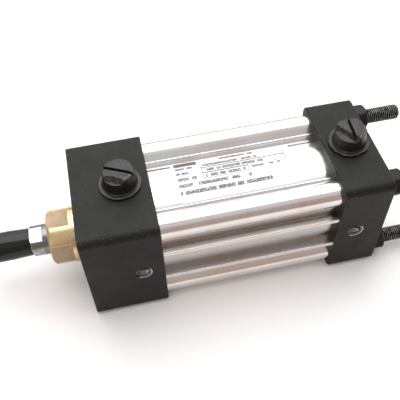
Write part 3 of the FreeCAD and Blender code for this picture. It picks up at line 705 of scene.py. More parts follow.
@dataclass(frozen=True)
class WrenchedMetal(TurnedMetal):
    """Turned metal whose wrench flats have a finish of their own, a little stained.

    Attributes:
        band: Radius past which the surface is the turned one.
        band_fade: Distances from the band at which the flats end and the turned part starts.
        flat_tone: Colour of the flats, linear.
        matt: Roughness of the flats.
        mottled: How much the roughness varies.
        spot_limits: Noise values of the stain at which a spot starts and is full.
        patch_limits: Noise values of the broad tarnish that let spots show.
        spot_share: How much of a spot shows on the turned part.
        clean_from: Place along X past which the turned part is clean.
        clean_fade: Stretch over which it becomes clean.
        clean: Colour of that part.
    """

    band: float = 0.0
    band_fade: Limits = (-0.15 * MM, 0.02 * MM)
    flat_tone: Colour = (0.5, 0.5, 0.5)
    matt: float = 0.5
    mottled: float = 0.12
    cloud: Noise = Noise(170, 5, 0.62)
    stain: Noise = Noise(800, 4, 0.7)
    stain_limits: Limits = (0.5, 0.8)
    shares: Limits = (0.5, 0.4)
    spot_limits: Limits = (0.45, 0.7)
    patch_limits: Limits = (0.35, 0.6)
    spot_share: float = 0.6
    clean_from: float = 1.0
    clean_fade: float = 1.5 * MM
    clean: Colour = (0.74, 0.75, 0.76)

    def dress(self, bench: Bench) -> None:
        """Turned where the distance from X passes the band, the flats' finish elsewhere."""
        place = bench.place()
        x, y, z = bench.split(place)
        radius = (y * y + z * z) ** 0.5
        turned_part = (radius - self.band).step(*self.band_fade)
        cloud = bench.noise(place, self.cloud)
        stain = bench.noise(place, self.stain)
        flats = bench.blend(self.aged(cloud, stain), self.flat_tone, self.tarnish)
        spots = stain.step(*self.spot_limits) * cloud.step(*self.patch_limits) * self.spot_share
        tone = bench.blend(turned_part, flats, bench.blend(spots, self.tone, self.tarnish))
        tone = bench.blend((x - self.clean_from).step(0.0, self.clean_fade), tone, self.clean)
        gloss = turned_part * (self.gloss - self.matt) + self.matt
        bench.set(Base_Color=tone, Roughness=gloss + (cloud - 0.5) * self.mottled,
                  Normal=bench.bump(self.rings(bench) * turned_part, self.ring_depth))


@dataclass(frozen=True)
class OxideSteel(Finish):
    """Black-oxide thread or nut whose crests are rubbed bright.

    Attributes:
        rubbed: Colour of rubbed metal.
        spacing: Distance of each axis from the bore's, in Y and in Z.
        crest: Radius of the crests, past the piece where nothing is rubbed.
        wear: Distances below the crest at which wear starts and is full.
        cloud: Breaks up the wear.
        wear_limits: Noise values at which wear starts and is full.
        grain: Fine grain.
        grain_depth: Height of the grain.
    """

    rubbed: Colour = (0.42, 0.41, 0.38)
    spacing: float = 0.0
    crest: float = 1.0
    wear: Limits = (0.16 * MM, 0.02 * MM)
    cloud: Noise = Noise(600, 4, 0.6)
    wear_limits: Limits = (0.3, 0.6)
    grain: Noise = Noise(4000, 3)
    grain_depth: float = 0.012 * MM

    def dress(self, bench: Bench) -> None:
        """Rubbed where the distance from the nearest thread axis comes near the crest."""
        place = bench.place()
        y, z = bench.split(place)[1:]
        side, up = abs(y) - self.spacing, abs(z) - self.spacing
        radius = (side * side + up * up) ** 0.5
        cloud = bench.noise(place, self.cloud)
        start, full = (self.crest - below for below in self.wear)
        bright = radius.step(start, full) * cloud.step(*self.wear_limits)
        bench.set(Base_Color=bench.blend(bright, self.tone, self.rubbed),
                  Roughness=self.uneven(cloud),
                  Normal=bench.bump(bench.noise(place, self.grain), self.grain_depth))


@dataclass(frozen=True)
class MouldedPlastic(Finish):
    """Moulded plastic with a fine matt grain and pale scuffs.

    Attributes:
        scuff: Colour of the scuffs.
        scuff_share: How much of a scuff shows.
        scuff_dull: How much rougher a scuff is.
        scuff_draw: Stretch of the scuffs along each axis.
        scuffs: Places the scuffs.
        scuff_limits: Noise values at which a scuff starts and is full.
        cloud: Mottle of the roughness.
        grain: Fine grain.
        grain_depth: Height of the grain.
    """

    scuff: Colour = (0.16, 0.16, 0.16)
    scuff_share: float = 0.35
    scuff_dull: float = 0.08
    scuff_draw: Place = (1, 0.35, 2.2)
    scuffs: Noise = Noise(1300, 5, 0.7)
    scuff_limits: Limits = (0.63, 0.76)
    cloud: Noise = Noise(300, 4)
    grain: Noise = Noise(3800, 3, 0.6)
    grain_depth: float = 0.02 * MM

    def finish_with(self, bench: Bench, marks: Wire, amount: Wire, colour: Colour, dull: float) -> None:
        """Set the sockets: a colour laid over the tone, a rougher surface and the grain.

        Args:
            bench: The material's bench.
            marks: Where the surface is rougher.
            amount: How much of the colour shows.
            colour: Colour laid over the tone.
            dull: Roughness added where the marks are full.
        """
        place = bench.place()
        roughness = self.uneven(bench.noise(place, self.cloud))
        bench.set(Base_Color=bench.blend(amount, self.tone, colour),
                  Roughness=roughness + marks * dull,
                  Normal=bench.bump(bench.noise(place, self.grain), self.grain_depth))

    def dress(self, bench: Bench) -> None:
        """Scuffs are stretched noise past a threshold."""
        marks = bench.noise(bench.place(self.scuff_draw), self.scuffs).step(*self.scuff_limits)
        self.finish_with(bench, marks, marks * self.scuff_share, self.scuff, self.scuff_dull)


@dataclass(frozen=True)
class ChippedHighlitPlastic(MouldedPlastic):
    """Moulded plug plastic, pale where the stub's top edge and the flange's rim are chipped, with painted
    edge highlight and painted glints.

    Attributes:
        axis_x: Place of the plug's axis along X.
        top: Height of the stub.
        stub: Radius of the stub's top.
        flange: Radius of the flange.
        flange_top: Height of the flange's upper face.
        chip_and_highlight: Colour of the chips and of the painted edge highlight.
        chip_dull: How much rougher the chips and painted highlight are.
        top_fade: Heights from the top between which the upper chips and painted highlight begin.
        stub_fade: Distances from the stub's radius between which they begin.
        rim_fade: Distances from the flange's radius between which the rim's chips and painted highlight
            begin.
        rim_high: Distances from the flange's upper face between which they end.
        worn_and_highlit_lean: How far the worn, highlit side leans towards the rod end, as a slope.
        worn_and_highlit_fade: Places across between which the worn, highlit side begins.
        flecks: Shape of the chips and painted highlight.
        top_limits: Noise values at which an upper chip and painted highlight start and are full.
        rim_limits: Noise values at which the rim's chips and painted highlight start and are full.
        rim_share: How much of the rim's chips and painted highlight shows.
        painted_glints: Places single pale spots of painted highlight.
        glint_limits: Noise values at which a spot starts and is full.
        glint_share: How much of a spot shows.
    """

    axis_x: float = 0.0
    top: float = 0.0
    stub: float = 0.0
    flange: float = 0.0
    flange_top: float = 0.0
    chip_and_highlight: Colour = (0.17, 0.165, 0.145)
    chip_dull: float = 0.1
    top_fade: Limits = (-1.3 * MM, -0.5 * MM)
    stub_fade: Limits = (-1.1 * MM, -0.3 * MM)
    rim_fade: Limits = (-0.42 * MM, -0.2 * MM)
    rim_high: Limits = (0.6 * MM, 0.2 * MM)
    worn_and_highlit_lean: float = 0.25
    worn_and_highlit_fade: Limits = (1.5 * MM, -2.5 * MM)
    flecks: Noise = Noise(1500, 4, 0.7)
    top_limits: Limits = (0.46, 0.56)
    rim_limits: Limits = (0.42, 0.54)
    rim_share: float = 0.7
    painted_glints: Noise = Noise(900, 2, 0.5)
    glint_limits: Limits = (0.70, 0.73)
    glint_share: float = 0.6

    def dress(self, bench: Bench) -> None:
        """Chips and painted edge highlight are noise past a threshold, kept near the two edges on the -Y
        side.
        """
        place = bench.place()
        x, y, z = bench.split(place)
        radius = ((x - self.axis_x) ** 2 + y * y) ** 0.5
        flecks = bench.noise(place, self.flecks)
        at_top = (z - self.top).step(*self.top_fade) * (radius - self.stub).step(*self.stub_fade)
        at_rim = (radius - self.flange).step(*self.rim_fade)
        at_rim = at_rim * abs(z - self.flange_top).step(*self.rim_high)
        worn_and_highlit_side = (y + (self.axis_x - x) * self.worn_and_highlit_lean).step(*self.worn_and_highlit_fade)
        upper = at_top * flecks.step(*self.top_limits)
        lower = at_rim * flecks.step(*self.rim_limits) * self.rim_share
        # chips: partly real chipping, partly a painted highlight along the stub's top edge and the
        # flange's rim on the near side
        chips = (upper + lower) * worn_and_highlit_side
        # painted highlight: pale glint spots scattered over the plug
        painted_glints = bench.noise(place, self.painted_glints).step(*self.glint_limits) * self.glint_share
        self.finish_with(bench, chips, chips.most(painted_glints).least(1.0), self.chip_and_highlight, self.chip_dull)


@dataclass(frozen=True)
class PrintedLabel(Finish):
    """White film with ruled boxes and rows of plain bars; it carries no lettering.

    Attributes:
        x0: Left end of the label along X.
        radius: Radius that the label lies on.
        ink: Colour of the print.
        ink_share: How much of the ink shows.
        shade: Share of the tone in the paper's darker parts.
        rule: Width of the frames' lines, in millimetres like the four below.
        block: Solid bar, as start, end, low, high.
        rows: Rows of bars, as start, end, middle, height.
        frames: Ruled frames, as start, end, low, high.
        words: Lengths of the bars and of the gaps between them.
        word_limits: Noise values at which a bar starts and is full.
        row_step: How far each row's bars are moved on in the noise, per millimetre of height.
        marks: Strokes within a bar.
        mark_limits: Noise values at which a stroke starts and is full.
        mark_draw: Stretch of the strokes in height.
        mottle: Mottle of the paper.
        weave: Fine unevenness of the film.
        weave_depth: Height of that unevenness.
    """

    x0: float = 0.0
    radius: float = 0.0
    ink: Colour = (0.012, 0.012, 0.014)
    ink_share: float = 0.9
    shade: float = 0.94
    rule: float = 0.40
    block: tuple[float, ...] = (1.6, 13.4, 9.2, 13.2)
    rows: tuple[tuple[float, ...], ...] = (
        (25.0, 43.0, 11.5, 2.2), (15.8, 44.0, 7.4, 2.1), (1.8, 10.8, 7.4, 2.0), (15.8, 46.5, 3.5, 2.1),
        (1.8, 8.2, 3.5, 2.0), (15.8, 36.5, -0.4, 2.1), (1.8, 11.6, -0.4, 2.0), (39.5, 54.5, 0.2, 1.5),
        (1.8, 38.5, -4.3, 2.0), (1.8, 48.5, -8.2, 2.1),
    )
    frames: tuple[tuple[float, ...], ...] = (
        (14.6, 58.0, 5.5, 9.4), (14.6, 58.0, 1.6, 5.5), (14.6, 38.0, -2.3, 1.6),
    )
    words: Noise = Noise(0.42, 0)
    word_limits: Limits = (0.35, 0.38)
    row_step: float = 7.0
    marks: Noise = Noise(1.7, 1)
    mark_limits: Limits = (0.36, 0.43)
    mark_draw: float = 0.8
    mottle: Noise = Noise(300, 3)
    weave: Noise = Noise(900, 2)
    weave_depth: float = 0.01 * MM
    spread: Limits = (1.15, 0.9)

    def dress(self, bench: Bench) -> None:
        """Ink over faintly mottled paper."""
        mottle = bench.noise(bench.place(), self.mottle)
        paper = bench.blend(mottle, scaled(self.tone, self.shade), self.tone)
        bench.set(Base_Color=bench.blend(self.printed(bench) * self.ink_share, paper, self.ink),
                  Roughness=self.uneven(mottle),
                  Normal=bench.bump(bench.noise(bench.place(), self.weave), self.weave_depth))

    def printed(self, bench: Bench) -> Wire:
        """1 where there is ink.

        Place on the sheet is x and radius times the angle from the top, in millimetres.
        """
        x, y, z = bench.split(bench.place())
        u = (x - self.x0) * (1 / MM)
        v = y.maths("ARCTAN2", y, z) * (self.radius / MM)
        ink = u.between(*self.block[:2]) * v.between(*self.block[2:])
        for start, end, middle, tall in self.rows:
            words = bench.noise(bench.spot(u, middle * self.row_step), self.words)
            marks = bench.noise(bench.spot(u, v * self.mark_draw), self.marks)
            inked = words.step(*self.word_limits) * marks.step(*self.mark_limits)
            row = u.between(start, end) * v.between(middle - tall / 2, middle + tall / 2)
            ink = ink.most(row * inked)
        for left, right, low, high in self.frames:
            line = self.rule
            inside = u.between(left + line, right - line) * v.between(low + line, high - line)
            ink = ink.most(u.between(left, right) * v.between(low, high) * (1 - inside))
        return ink


@dataclass(frozen=True)
class FaceTurned(Finish):
    """Small end face turned about a line along Y, with shade painted dark above its centre.

    Attributes:
        centre: A point on the screw's axis.
        ring: Distance between the rings.
        ring_depth: Height of the rings.
        cloud: Mottle of the face.
        dull_limits: Noise values between which the metal gets duller.
        dull_share: Share of the tone where it is dullest.
        painted_shade_edge: Heights above the centre between which the painted shade begins.
        painted_shade_waver: How far that edge wavers.
        painted_shade_share: Share of the tone under the painted shade.
    """

    centre: Place = (0.0, 0.0, 0.0)
    ring: float = 0.35 * MM
    ring_depth: float = 0.006 * MM
    cloud: Noise = Noise(1200, 3)
    dull_limits: Limits = (0.45, 0.7)
    dull_share: float = 0.45
    painted_shade_edge: Limits = (0.2 * MM, 1.6 * MM)
    painted_shade_waver: float = 3 * MM
    painted_shade_share: float = 0.08
    spread: Limits = (0.8, 1.3)

    def dress(self, bench: Bench) -> None:
        """Rings are a sine of the distance from the screw's axis."""
        x, _, z = bench.split(bench.place((1, 1, 1), self.centre))
        rings = ((x * x + z * z) ** 0.5 * (TAU / self.ring)).wave()
        cloud = bench.noise(bench.place(), self.cloud)
        tone = bench.blend(cloud.step(*self.dull_limits), self.tone, scaled(self.tone, self.dull_share))
        # painted shade: the face is darkened above its centre, where the hole's wall shades it
        painted_shade = (z + (cloud - 0.5) * self.painted_shade_waver).step(*self.painted_shade_edge)
        bench.set(Base_Color=bench.blend(painted_shade, tone, scaled(self.tone, self.painted_shade_share)),
                  Roughness=self.uneven(cloud),
                  Normal=bench.bump(rings, self.ring_depth))


# ---- pieces -----------------------------------------------------------------------
def span(node: str) -> tuple[Vector, Vector]:
    """Middle and half size of a node's box."""
    low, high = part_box(node)
    return (low + high) / 2, (high - low) / 2


@dataclass
class Piece:
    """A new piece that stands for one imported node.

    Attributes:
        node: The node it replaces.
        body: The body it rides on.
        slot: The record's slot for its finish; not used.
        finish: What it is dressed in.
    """

    node: str
    body: str
    slot: str
    finish: Finish

    def patches(self) -> list[Patch]:
        """The piece's surfaces."""
        raise NotImplementedError

    def build(self) -> bpy.types.Object:
        """Make the piece, dress it and put it on its body.

        Returns:
            The new object.
        """
        piece = solid_object(self.node + "_shape", self.patches())
        piece.data.materials.append(shared(self.finish))
        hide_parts(self.node)
        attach(piece, self.body)
        log.info("%s: %d faces, %s", piece.name, len(piece.data.polygons), self.finish.name)
        return piece


_made: dict[str, bpy.types.Material] = {}


def shared(finish: Finish) -> bpy.types.Material:
    """The material of a finish, made once."""
    if finish.name not in _made:
        _made[finish.name] = finish.make()
    return _made[finish.name]


@dataclass
class ThreadedBar(Piece):
    """Round bar along X with a rolled thread at its free end.

    Attributes:
        pitch: Thread pitch.
        thread_x: Where the thread's run ends, inside the other pieces.
        free_end: +1 if the free end is at high X, -1 if at low X.
        columns: Points round the bar.
        depth_share: Depth of the thread as a share of its pitch.
        tip_below: How far the tip's radius is below the thread's root.
        plain_end: Length at the thread's inner end that stays at crest size.
    """

    pitch: float = 1.0 * MM
    thread_x: float = 0.0
    free_end: int = 1
    columns: int = 28
    depth_share: float = 0.6134
    tip_below: float = 0.1 * MM
    plain_end: float = 0.4 * MM

    def patches(self) -> list[Patch]:
        """Thread as a helical strip.

        A point's place along is pitch times (turn + part of a pitch + angle / one turn);
        its radius follows a 60 degree thread, no more than a cone at the free end.
        """
        middle, half = span(self.node)
        crest = half.z
        depth = self.depth_share * self.pitch
        root = crest - depth
        end_x = middle.x + self.free_end * half.x
        inner_x = middle.x - self.free_end * half.x
        low, high = sorted((self.thread_x, end_x))
        parts = np.array([0, 1 / 16, 7 / 32, 3 / 8, 1 / 2, 5 / 8, 25 / 32, 15 / 16])
        fall = np.array([0, 0, 0.5, 1, 1, 1, 0.5, 0]) * depth
        turns = int(math.ceil((high - low) / self.pitch)) + 3
        run = (np.arange(turns)[:, None] + parts).ravel() * self.pitch
        angles = even_angles(self.columns)
        along, angle = np.meshgrid(run, angles, indexing="ij")
        x = low - 1.5 * self.pitch + along + self.pitch * angle / TAU
        radius = crest - np.tile(fall, turns)[:, None] + 0 * angle
        tip = root - self.tip_below
        x = np.clip(x, low, high)
        radius = np.minimum(radius, tip + np.abs(end_x - x))
        inward = np.abs(x - self.thread_x)
        radius = np.maximum(radius, np.minimum(crest, crest - (inward - self.plain_end)))
        radius = np.where(x == self.thread_x, crest, radius)
        centre = (0, middle.y, middle.z)
        thread = Patch(Axis.X.place(x, radius * np.cos(angle), radius * np.sin(angle), centre),
                       shift=len(parts))
        face = turned(np.array([(end_x, 0), (end_x, tip)]), Axis.X, centre, angles)
        shank = turned(np.array([(self.thread_x, crest), (inner_x, crest), (inner_x, 0)]),
                       Axis.X, centre, angles)
        return [thread, face, shank]


@dataclass
class HexNut(Piece):
    """Hexagon nut with its axis along X and its outer end domed.

    Attributes:
        bore: Radius of the hole.
        corner_ease: How much the corners are cut back.
        mouth: Chamfer of the hole.
        dome: Height of the domed end.
        face_step: How far the outer face's edge is inside the flats.
        dome_rows: Rows of points over the dome.
        back_height: Height of the bevel at the inner face.
        back_step: How far that face's edge is inside the corners.
    """

    bore: float = 4.02 * MM
    corner_ease: float = 0.30 * MM
    mouth: float = 0.5 * MM
    dome: float = 3.0 * MM
    face_step: float = 1.3 * MM
    dome_rows: int = 10
    back_height: float = 0.25 * MM
    back_step: float = 0.45 * MM

    def patches(self) -> list[Patch]:
        """Radius is the lesser of the hexagon's, flat / cos(angle from flat), and a dome's.

        The dome is a quarter ellipse from the outer face to the corners' full radius.
        """
        middle, half = span(self.node)
        flat = half.z
        corner = flat / math.cos(math.pi / 6)
        x0, x1 = middle.x - half.x, middle.x + half.x
        face = flat - self.face_step
        rows = [(x1 - self.mouth, self.bore), (x1, self.bore + self.mouth)]
        rows += [(x1 - self.dome * (1 - math.sin(a)), face + (corner - face) * math.cos(a))
                 for a in np.linspace(math.pi / 2, 0, self.dome_rows)]
        rows += [(x0 + self.back_height, 2 * corner), (x0, corner - self.back_step),
                 (x0, self.bore + self.mouth), (x0 + self.mouth, self.bore),
                 (x1 - self.mouth, self.bore)]

        def hexagon(along: np.ndarray, radius: np.ndarray, angle: np.ndarray) -> np.ndarray:
            """Flat sides with slightly eased corners."""
            side = flat / np.cos(np.mod(angle, TAU / 6) - TAU / 12)
            return np.minimum(radius, np.minimum(side, corner - self.corner_ease))

        angles = even_angles(ROUND)
        return [turned(np.array(rows), Axis.X, (0, middle.y, middle.z), angles, hexagon)]


@dataclass
class RodGland(Piece):
    """Bronze gland: chamfered round with four wrench flats and a full collar."""

    rod_radius: float = 7.99 * MM
    flat_depth: float = 1.5875 * MM
    flat_turn: float = math.radians(-6.7)
    collar: float = 4.6 * MM
    wrench_step: float = 0.25 * MM
    seat_depth: float = 1.0 * MM
    seat_step: float = 0.25 * MM
    chamfer: float = 1.4 * MM
    wiper_radius: float = 11.14 * MM
    wiper_depth: float = 5.0 * MM
    thread_step: float = 1.2 * MM
    thread_end: float = 10.0 * MM
    nose_radius: float = 11.0 * MM
    nose_end: float = 15.95 * MM
    ease: float = 0.28 * MM
    mouth_ease: float = 0.15 * MM
    columns: int = 160

    def patches(self) -> list[Patch]:
        """Radius is the lesser of the turned profile's and flat / cos(angle from flat)."""
        half = span(self.node)[1]
        r = half.z
        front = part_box(self.node)[0].x
        flat, corner = r - self.flat_depth, r - self.wrench_step
        edge = math.acos(flat / corner)
        shoulder = -self.collar
        head = softened([
            (front + self.wiper_depth, self.rod_radius, 0),
            (front + self.wiper_depth, self.wiper_radius, 0),
            (front, self.wiper_radius, self.mouth_ease),
            (front, corner - self.chamfer, self.ease),
            (front + self.chamfer, corner, self.ease),
            (shoulder, corner, 0),
        ])
        thread, seat = r - self.thread_step, r - self.seat_step
        tail = softened([
            (shoulder, r, 0), (0, r, 0), (0, seat, 0), (self.seat_depth, seat, 0),
            (self.seat_depth, thread, 0), (self.thread_end, thread, 0),
            (self.thread_end, self.nose_radius, 0), (self.nose_end, self.nose_radius, 0),
            (self.nose_end, self.rod_radius, 0), (front + self.wiper_depth, self.rod_radius, 0),
        ])
        quarters = self.flat_turn + np.arange(4) * TAU / 4
        angles = even_angles(self.columns, *(quarters + edge), *(quarters - edge))

        def flats(along: np.ndarray, radius: np.ndarray, angle: np.ndarray) -> np.ndarray:
            """Four flats, turned a little from square."""
            fold = np.mod(angle - self.flat_turn + TAU / 8, TAU / 4) - TAU / 8
            return np.minimum(radius, flat / np.cos(fold))

        outline = flats(angles, np.full_like(angles, corner), angles)
        radius = np.stack([outline, np.full_like(angles, r)])
        step = Patch(Axis.X.place(np.full_like(radius, shoulder), radius * np.cos(angles),
                                  radius * np.sin(angles), (0, 0, 0)))
        return [turned(head, Axis.X, (0, 0, 0), angles, flats), step,
                turned(tail, Axis.X, (0, 0, 0), angles)]


@dataclass
class PortPlug(Piece):
    """Moulded shipping plug: hollow stem, thin flange and a slotted, roughly trimmed stub."""

    slot_turn: float = 0.0
    seed: int = 1
    stem_radius: float = 8.19 * MM
    stem_top: float = 8.47 * MM
    stem_depth: float = 9.0 * MM
    hollow: float = 5.49 * MM
    flange_thick: float = 1.5 * MM
    stub_foot: float = 8.3 * MM
    stub_top: float = 7.2 * MM
    slot_width: float = 1.15 * MM
    slot_depth: float = 3.2 * MM
    ragged: float = 0.45 * MM
    flash: float = 0.12 * MM
    break_from: float = 4.6 * MM
    break_turn: float = math.radians(-117)
    break_slope: float = 1.6
    break_floor: float = 0.6 * MM
    flange_lift: float = 0.08 * MM
    stub_fillet: float = 0.5 * MM
    hollow_ease: float = 0.3 * MM
    stem_ease: float = 0.5 * MM
    flange_eases: Limits = (0.25 * MM, 0.30 * MM)
    rim_share: float = 0.07

    def patches(self) -> list[Patch]:
        """Turned base, and above the slot's floor two posts with a D section."""
        low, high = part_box(self.node)
        middle = (low + high) / 2
        flange = (high.x - low.x) / 2
        top = high.z
        floor = top - self.slot_depth
        stem_z = low.z
        flange_z = stem_z + self.stem_depth + self.flange_lift
        over = flange_z + self.flange_thick
        part = (floor - over) / (top - over)
        waist = self.stub_foot + (self.stub_top - self.stub_foot) * part
        lower, upper = self.flange_eases
        profile = softened([
            (flange_z, 0, 0), (flange_z, self.hollow, 0), (stem_z, self.hollow, self.hollow_ease),
            (stem_z, self.stem_radius, self.stem_ease), (flange_z, self.stem_top, 0),
            (flange_z, flange, lower), (over, flange, upper),
            (over, self.stub_foot + self.stub_fillet, 0), (over + self.stub_fillet, self.stub_foot, 0),
            (floor, waist, 0), (floor, 0, 0),
        ])

        def rough(along: np.ndarray, radius: np.ndarray, angle: np.ndarray) -> np.ndarray:
            """Flash on the flange's rim and slight unevenness of the stub."""
            rim = np.clip((radius / flange - 1) / self.rim_share + 1, 0, 1)
            flash = waves(angle, self.seed, (3, 5, 11, 17, 29)) - 0.6
            return radius + rim * self.flash * np.minimum(flash, 0)

        centre = (middle.x, middle.y, 0)
        base = turned(profile, Axis.Z, centre, even_angles(ROUND), rough)
        return [base] + [self.post(turn, floor, top, waist, centre) for turn in (0.0, math.pi)]

    def post(self, turn: float, floor: float, top: float, waist: float,
             centre: Sequence[float]) -> Patch:
        """One side of the slotted stub.

        The section is an arc closed by its chord. It shrinks towards its own middle in
        rounded steps at the top, and its rim wavers as if trimmed by hand. Past a ragged
        line the height falls off by the break's slope, where a piece has broken away.

        Args:
            turn: Angle that the arc's middle is turned from the slot's normal.
            floor: Height of the slot's floor.
            top: Height of the stub.
            waist: Radius at the slot's floor.
            centre: Point on the plug's axis.

        Returns:
            The post's surface.
        """
        gap = self.slot_width / 2
        half_angle = math.acos(gap / waist)
        arc = np.linspace(-half_angle, half_angle, 56)
        chord = np.linspace(1, -1, 30)[1:-1]
        lift = np.array([0, 0.25, 0.55, 0.80, 0.90, 0.96, 0.99, 1.0, 1.0, 1.0, 1.0])
        draw = np.array([0, 0, 0, 0, 0.018, 0.05, 0.10, 0.17, 0.45, 0.75, 1.0])
        radius = waist + (self.stub_top - waist) * np.minimum(lift, 0.9)[:, None]
        waver = waves(arc * 2 + turn, self.seed + 7, (2, 3, 7, 12, 19))
        trim = np.clip(lift - 0.3, 0, 1)[:, None] * self.ragged
        arc_x = (radius + trim * waver) * np.cos(arc)
        arc_y = (radius + trim * waver) * np.sin(arc)
        arc_x = np.maximum(arc_x, gap)
        end = np.sqrt(radius ** 2 - gap ** 2)
        across = np.concatenate([arc_x, np.full((len(lift), len(chord)), gap)], axis=1)
        length = np.concatenate([arc_y, chord * end], axis=1)
        mid = 0.5 * (gap + waist)
        across = across + (mid - across) * draw[:, None]
        length = length * (1 - draw[:, None])
        dip = np.concatenate([0.55 * self.ragged * (waver - 1), np.zeros(len(chord))])
        near_rim = (np.clip(lift - 0.5, 0, 1) * (1 - draw))[:, None]
        height = floor + (top - floor) * lift[:, None] + near_rim * dip
        normal = self.slot_turn + math.pi / 2 + turn
        x = across * math.cos(normal) - length * math.sin(normal)
        y = across * math.sin(normal) + length * math.cos(normal)
        beyond = x * math.cos(self.break_turn) + y * math.sin(self.break_turn)
        beside = y * math.cos(self.break_turn) - x * math.sin(self.break_turn)
        edge = self.break_from + self.ragged * waves(beside * (3 / waist), self.seed + 3, (1, 3, 5, 11))
        broken = top - self.break_slope * np.maximum(beyond - edge, 0)
        height = np.maximum(np.minimum(height, broken), np.minimum(height, floor + self.break_floor))
        return Patch(Axis.Z.place(np.minimum(height, top), x, y, centre))


@dataclass
class ThreadSleeve(Piece):
    """Glossy closed sleeve over the rod's stud, creased where it was pushed on.

    Attributes:
        mouth_radius: Outer radius at the open end.
        bore_radius: Radius of the hole.
        flare: Length over which it widens behind the mouth.
        flare_ease: Softness of the flare's inner end.
        crease: Depth of the deepest crease.
        weights: Shares of the slow, quick and fine creases.
        floor_depth: Depth of the hole.
        lip: Rounding of the mouth.
        dome: Length of the domed end.
        dome_power: Power of the cosine that rounds it.
    """

    mouth_radius: float = 7.1 * MM
    bore_radius: float = 6.45 * MM
    flare: float = 12.0 * MM
    flare_ease: float = 4 * MM
    crease: float = 0.48 * MM
    weights: tuple[float, float, float] = (1.0, 0.6, 0.25)
    floor_depth: float = 19.75 * MM
    lip: float = 0.35 * MM
    dome: float = 4.5 * MM
    dome_power: float = 0.55

    def patches(self) -> list[Patch]:
        """Flared tube with a domed end; creases are waves along X and round the turn."""
        low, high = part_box(self.node)
        r = (high.z - low.z) / 2
        x0, x1 = low.x, high.x
        outer = softened([(x1, self.mouth_radius - self.lip, 0), (x1, self.mouth_radius, self.lip),
                          (x1 - self.flare, r, self.flare_ease), (x0, r, 0)])[:-1]
        body_x = np.linspace(x1 - self.flare - self.flare_ease, x0 + self.dome, 40)
        turn = np.linspace(0, math.pi / 2, 14)
        rows = np.concatenate([
            outer, np.stack([body_x, np.full_like(body_x, r)], axis=1),
            np.stack([x0 + self.dome * (1 - np.sin(turn)), r * np.cos(turn) ** self.dome_power], axis=1)])
        rows = rows[np.concatenate([[True], np.linalg.norm(np.diff(rows, axis=0), axis=1) > 1e-7])]
        inside = np.array([(x1, self.mouth_radius - self.lip), (x1, self.bore_radius),
                           (x1 - self.floor_depth, self.bore_radius), (x1 - self.floor_depth, 0)])

        def creased(along: np.ndarray, radius: np.ndarray, angle: np.ndarray) -> np.ndarray:
            """Inward creases, none at the mouth or at the tip's middle."""
            t = (x1 - along) / (x1 - x0)
            slow = np.sin(TAU * 2.3 * t + 1.1 * np.sin(2 * angle)) * np.cos(2 * angle + 3 * t)
            quick = np.sin(TAU * 6.1 * t + 2.0 * np.sin(angle)) * np.cos(3 * angle - 5 * t)
            fine = np.sin(TAU * 13 * t + 3.0 * np.sin(2 * angle + 1))
            total = sum(self.weights)
            mixed = sum(w * part for w, part in zip(self.weights, (slow, quick, fine)))
            amount = (mixed - total) / (2 * total)
            fade = np.clip(radius / r, 0, 1) ** 4 * np.clip(t / 0.05, 0, 1)
            return radius + self.crease * amount * fade

        angles = even_angles(ROUND)
        return [turned(rows, Axis.X, (0, 0, 0), angles, creased),
                turned(inside, Axis.X, (0, 0, 0), angles)]


@dataclass
class WrappedLabel(Piece):
    """Thin film with rounded corners, wrapped over the round top of the barrel."""

    corner: float = 2.4 * MM
    thick: float = 0.14 * MM

    def patches(self) -> list[Patch]:
        """Sheet on a cylinder: point = (x, R sin a, R cos a).

        The half width shrinks near both ends as a quarter circle, W - c + sqrt(c^2 - d^2).
        """
        low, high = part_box(self.node)
        outer = high.z
        inner = outer - self.thick
        wide = outer * math.asin(high.y / outer)
        turn = np.linspace(0, math.pi / 2, 9)
        start = low.x + self.corner * (1 - np.sin(turn))[::-1]
        x = np.concatenate([start, np.linspace(start[-1], high.x - self.corner, 24)[1:],
                            high.x - self.corner * (1 - np.sin(turn))[1:]])
        inset = np.maximum(np.maximum(low.x + self.corner - x, x - high.x + self.corner), 0)
        width = wide - self.corner + np.sqrt(np.maximum(self.corner ** 2 - inset ** 2, 0))
        t = np.linspace(-1, 1, 49)
        t = np.concatenate([t, t[::-1]])
        is_top = np.arange(len(t)) < len(t) // 2
        radius = np.where(is_top, outer, inner) + 0 * x[:, None]
        angle = t * width[:, None] / outer
        rows = np.concatenate([[0], np.arange(len(x)), [len(x) - 1]])
        radius, angle, x = radius[rows], angle[rows], x[rows, None] + 0 * t
        radius[[0, -1]] = inner
        return [Patch(Axis.X.place(x, radius * np.sin(angle), radius * np.cos(angle), (0, 0, 0)))]


# ---- sub-assemblies -----------------------------------------------------------------
@dataclass
class Dresser:
    """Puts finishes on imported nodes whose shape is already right."""

    frame: dict

    def dress(self, finish: Finish, *nodes: str) -> None:
        """Give nodes a finish in all of their material slots."""
        for node in nodes:
            mesh = self.frame["nodes"][node].data
            if not mesh.materials:
                mesh.materials.append(None)
            for index in range(len(mesh.materials)):
                mesh.materials[index] = shared(finish)
            log.info("%s: packed shape, %s", node, finish.name)


@dataclass(frozen=True)
class EndLook:
    """What differs between the head and the cap.

    Attributes:
        name: Start of the end's node names.
        inner: +1 if the barrel is at the block's high X, -1 if at its low X.
        slot_turn: Degrees that the plug's slot is turned from X.
        seed: Seed of the plug's ragged lines.
        ragged: How far they waver.
        flash: How far the flange's rim wavers.
        break_turn: Degrees from X of the side where the stub is broken.
        break_from: Distance of the break from the plug's axis.
    """

    name: str
    inner: int
    slot_turn: float
    seed: int
    ragged: float
    flash: float
    break_turn: float
    break_from: float


